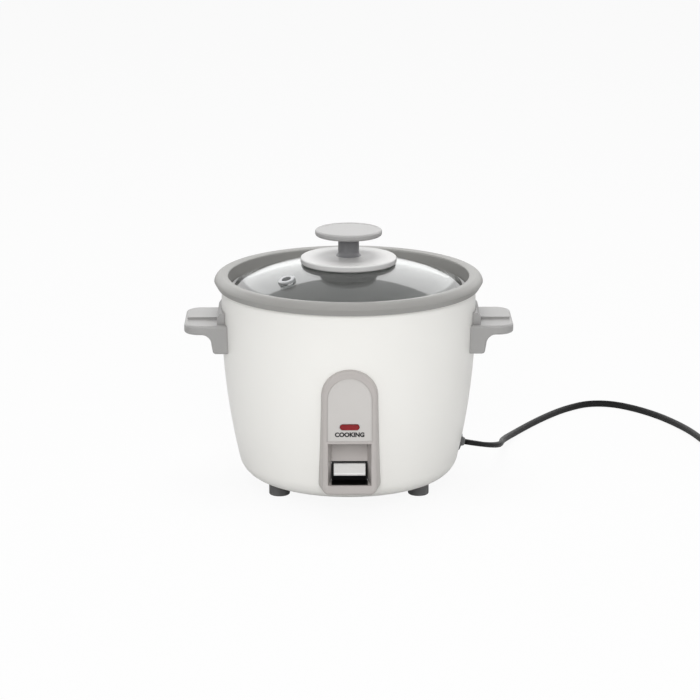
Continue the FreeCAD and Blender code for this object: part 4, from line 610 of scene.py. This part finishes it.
finish_nodes(enamel, "outer_shell")
finish_nodes(rim_plastic, "rim_ring")
finish_nodes(handle_plastic, "left_handle", "right_handle")
finish_nodes(knob_plastic, "lid_knob")
finish_nodes(saucer_plastic, "lid_saucer")
finish_nodes(stem_plastic_and_shade, "lid_stem")
finish_nodes(panel_plastic, "panel_frame")
finish_nodes(plate_plastic, "panel_plate")
finish_nodes(black_plastic_and_shade, "switch_surround", "lamp_holder", "micro_switch")
finish_nodes(key_plastic, "switch_key", "switch_plunger")
finish_nodes(lamp_red(), "lamp_lens")
finish_nodes(bulb_glass(), "lamp_bulb")
finish_nodes(lid_pane(), "lid_glass")
finish_nodes(pan_metal, "inner_pan")
finish_nodes(cap_metal, "sensor_cap")
finish_nodes(vent_metal, "steam_vent")
finish_nodes(cast_metal, "heater_plate")
finish_nodes(plain_steel, "heat_shield", "base_plate", "sensor_holder", "switch_arm", "lever_bracket",
             "lever_pin", "magnet_rod", "heater_element", "lid_washer", "lid_screw", "base_screws",
             "ring_screws", "handle_screws", "panel_screws", "bracket_screws", "heater_screws",
             "sensor_spring", "magnet_spring")
finish_nodes(ferrite, "sensor_ferrite", "magnet")
finish_nodes(ceramic, "terminal_block", "thermal_fuse")
finish_nodes(rubber, "foot_front_left", "foot_front_right", "foot_rear", "cord_grommet")
finish_nodes(plug_pvc, "plug_body", "inner_cord")
finish_nodes(tie_plastic, "cord_tie")
finish_nodes(blade_brass, "plug_blades")

# Springs between the housing and a moving piece, drawn in the places of the two CAD spring nodes

spring_tree = wire_spring_tree(plain_steel)
sensor_coil, foot, head = wire_spring("sensor_spring", spring_tree, SENSOR_SPRING_TURNS, SENSOR_SPRING_WIRE,
                                      plain_steel)
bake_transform(sensor_coil)
magnet_coil, foot, head = wire_spring("magnet_spring", spring_tree, MAGNET_SPRING_TURNS, MAGNET_SPRING_WIRE,
                                      plain_steel)
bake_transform(magnet_coil)

# Finger ribs on both flat sides of the plug

PLUG_BOOT = 9.0
PLUG_HALF_WIDTH = 7.5
RIB_COUNT = 5
RIB_PITCH = 2.8
RIB_BAR = (1.3, 0.8, 11.0)
RIB_START = 7.0
tail_end = coil_points()[-1]
tail_way = (tail_end - coil_points()[-2]).normalized()
plug_turn = Matrix.Rotation(math.atan2(tail_way.y, tail_way.x), 4, "Z")
ribs_tree = finger_ribs_tree(plug_pvc)
for side, name in ((-1, "plug_ribs_right"), (1, "plug_ribs_left")):
    ribs = evaluated_mesh(ribs_tree, {"Count": RIB_COUNT, "Pitch": RIB_PITCH * MM,
                                      "Bar": [size * MM for size in RIB_BAR]}, name)
    shift = Vector((PLUG_BOOT + RIB_START, side * PLUG_HALF_WIDTH, 0.0))
    ribs.transform(Matrix.Translation(tail_end * MM) @ plug_turn @ Matrix.Translation(shift * MM))
    mesh_piece(name, ribs, plug_pvc, "housing")

# Mains lead, with its coil put away beside the cooker

lead_points = spline_line([Vector(point) for point in CORD_ROUTE] + coil_points())
lead = mesh_piece("mains_lead", swept_cord(lead_points), cord_sheath(), "housing")
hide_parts("cord_lead", "cord_coil")

# Painted shade: thin black crosses on the screw heads under the base, for the shadow in their driver recesses

BASE_SCREW_CIRCLE = 44.3
BASE_SCREW_TURNS = (90, 210, 330)
BASE_HEAD_Z = 6.0
BRACKET_SCREW_X = 6.5
BRACKET_SCREW_Y = -54.5
BRACKET_HEAD_Z = 7.0
CROSS_LENGTH = 3.4
CROSS_WIDTH = 0.7
CROSS_THICKNESS = 0.16
heads = []
for turn in BASE_SCREW_TURNS:
    angle = math.radians(turn)
    heads.append((BASE_SCREW_CIRCLE * math.cos(angle), BASE_SCREW_CIRCLE * math.sin(angle), BASE_HEAD_Z))
for side in (-1, 1):
    heads.append((side * BRACKET_SCREW_X, BRACKET_SCREW_Y, BRACKET_HEAD_Z))
cross_arms = {
    "Along": (CROSS_LENGTH * MM, CROSS_WIDTH * MM, CROSS_THICKNESS * MM),
    "Across": (CROSS_WIDTH * MM, CROSS_LENGTH * MM, CROSS_THICKNESS * MM),
}
# Painted shade: black crosses where the driver recesses would be in shadow
shade_cross_mesh = evaluated_mesh(painted_shade_crosses_tree(black_plastic_and_shade), cross_arms, "painted_shade_crosses", heads)
mesh_piece("painted_shade_crosses", shade_cross_mesh, black_plastic_and_shade, "housing")

# The lamp's plain word, printed under the lens

WORD_SIZE = 4.2
WORD_SPACING = 1.02
WORD_STROKE = 0.24
WORD_THICKNESS = 0.02
WORD_Z = 61.6
PLATE_FACE_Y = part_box("panel_plate")[0].y
word_curve = bpy.data.curves.new("lamp_word", "FONT")
word_curve.body = "COOKING"
word_curve.align_x = "CENTER"
word_curve.align_y = "CENTER"
word_curve.size = WORD_SIZE * MM
word_curve.space_character = WORD_SPACING
word_curve.offset = WORD_STROKE * MM
word_curve.extrude = WORD_THICKNESS * MM
word_holder = bpy.data.objects.new("lamp_word", word_curve)
bpy.context.scene.collection.objects.link(word_holder)
word_mesh = bpy.data.meshes.new_from_object(word_holder.evaluated_get(bpy.context.evaluated_depsgraph_get()))
bpy.data.objects.remove(word_holder)
word_place = Matrix.Translation((0.0, PLATE_FACE_Y, WORD_Z * MM))
word_mesh.transform(word_place @ Matrix.Rotation(math.pi / 2, 4, "X"))
mesh_piece("lamp_word", word_mesh, print_ink, "housing")

# Floor, light and camera


def studio_floor():
    """A pale floor that is white to the camera and keeps a soft shadow."""
    material, tree, output = new_material("white_studio_floor")
    seen = add(tree, "ShaderNodeLightPath")
    plain = add(tree, "ShaderNodeBsdfDiffuse", {"Color": linear("e6e6e6")})
    white = add(tree, "ShaderNodeEmission", {"Color": linear("ffffff"), "Strength": 1.0})
    share = add(tree, "ShaderNodeMath", {0: seen.outputs["Is Camera Ray"], 1: FLOOR_WHITE_SHARE},
                operation="MULTIPLY")
    mix = add(tree, "ShaderNodeMixShader", {"Fac": share.outputs["Value"], 1: plain.outputs["BSDF"],
                                            2: white.outputs["Emission"]})
    tree.links.new(mix.outputs["Shader"], output.inputs["Surface"])
    mesh = bpy.data.meshes.new("studio_floor")
    half = FLOOR_HALF
    corners = [(-half, -half, 0), (half, -half, 0), (half, half, 0), (-half, half, 0)]
    mesh.from_pydata(corners, [], [(0, 1, 2, 3)])
    mesh.materials.append(material)
    floor = bpy.data.objects.new("studio_floor", mesh)
    bpy.context.scene.collection.objects.link(floor)


def studio_world():
    """Soft room light; mirrors see a bright wall behind the cooker up to a height and a dim ceiling above."""
    world = bpy.data.worlds.new("studio_room")
    world.use_nodes = True
    tree = world.node_tree
    tree.nodes.clear()
    way = add(tree, "ShaderNodeTexCoord").outputs["Generated"]
    part = add(tree, "ShaderNodeSeparateXYZ", {"Vector": way}).outputs
    wall = add(tree, "ShaderNodeMapRange", {
        "Value": part["Z"],
        "From Min": CEILING_START - CEILING_BLUR,
        "From Max": CEILING_START + CEILING_BLUR,
        "To Min": 1.0,
        "To Max": CEILING_GLOW,
    })
    strip = add(tree, "ShaderNodeMapRange", {
        "Value": part["Z"],
        "From Min": STRIP_FOOT,
        "From Max": STRIP_HEAD,
        "To Min": WALL_GLOW,
        "To Max": STRIP_GLOW,
    })
    glow = add(tree, "ShaderNodeMapRange", {
        "Value": part["Y"],
        "From Min": 0.0,
        "From Max": WALL_SIDE,
        "To Min": 1.0,
        "To Max": strip.outputs["Result"],
    })
    mirrored = add(tree, "ShaderNodeMath", {0: wall.outputs["Result"], 1: glow.outputs["Result"]},
                   operation="MULTIPLY")
    path = add(tree, "ShaderNodeLightPath")
    lit = add(tree, "ShaderNodeMix", {"Factor": path.outputs["Is Glossy Ray"], "A": ROOM_LEVEL,
                                      "B": mirrored.outputs["Value"]})
    clear = add(tree, "ShaderNodeMath", {0: path.outputs["Is Camera Ray"],
                                         1: path.outputs["Is Transmission Ray"]}, operation="MAXIMUM")
    shown = add(tree, "ShaderNodeMix", {"Factor": clear.outputs["Value"], "A": lit.outputs["Result"],
                                        "B": 1.0})
    sky = add(tree, "ShaderNodeBackground", {"Color": linear("ffffff"), "Strength": shown.outputs["Result"]})
    output = add(tree, "ShaderNodeOutputWorld")
    tree.links.new(sky.outputs["Background"], output.inputs["Surface"])
    bpy.context.scene.world = world


def soft_box(name, place, size, power):
    """A square studio light on the cooker that mirrors don't show."""
    light = bpy.data.lights.new(name, "AREA")
    light.shape = "SQUARE"
    light.size = size
    light.energy = power
    lamp = bpy.data.objects.new(name, light)
    lamp.location = place
    lamp.rotation_euler = (Vector(LIGHT_AIM) - Vector(place)).to_track_quat("-Z", "Y").to_euler()
    lamp.visible_glossy = False
    lamp.visible_transmission = False
    bpy.context.scene.collection.objects.link(lamp)


def photo_camera():
    """The photograph's view."""
    camera = bpy.data.cameras.new("photo_camera")
    camera.sensor_width = 36.0
    camera.lens = CAMERA_LENS
    holder = bpy.data.objects.new("photo_camera", camera)
    lift = math.radians(CAMERA_ELEVATION)
    side = math.radians(CAMERA_AZIMUTH)
    back = Vector((math.sin(side) * math.cos(lift), -math.cos(side) * math.cos(lift), math.sin(lift)))
    holder.location = Vector(CAMERA_TARGET) + back * CAMERA_DISTANCE
    holder.rotation_euler = (-back).to_track_quat("-Z", "Y").to_euler()
    bpy.context.scene.collection.objects.link(holder)
    bpy.context.scene.camera = holder


studio_floor()
studio_world()
soft_box("front_light", FRONT_LIGHT_PLACE, FRONT_LIGHT_SIZE, FRONT_LIGHT_POWER)
soft_box("top_light", TOP_LIGHT_PLACE, TOP_LIGHT_SIZE, TOP_LIGHT_POWER)
photo_camera()
bpy.context.scene.view_settings.view_transform = "Standard"
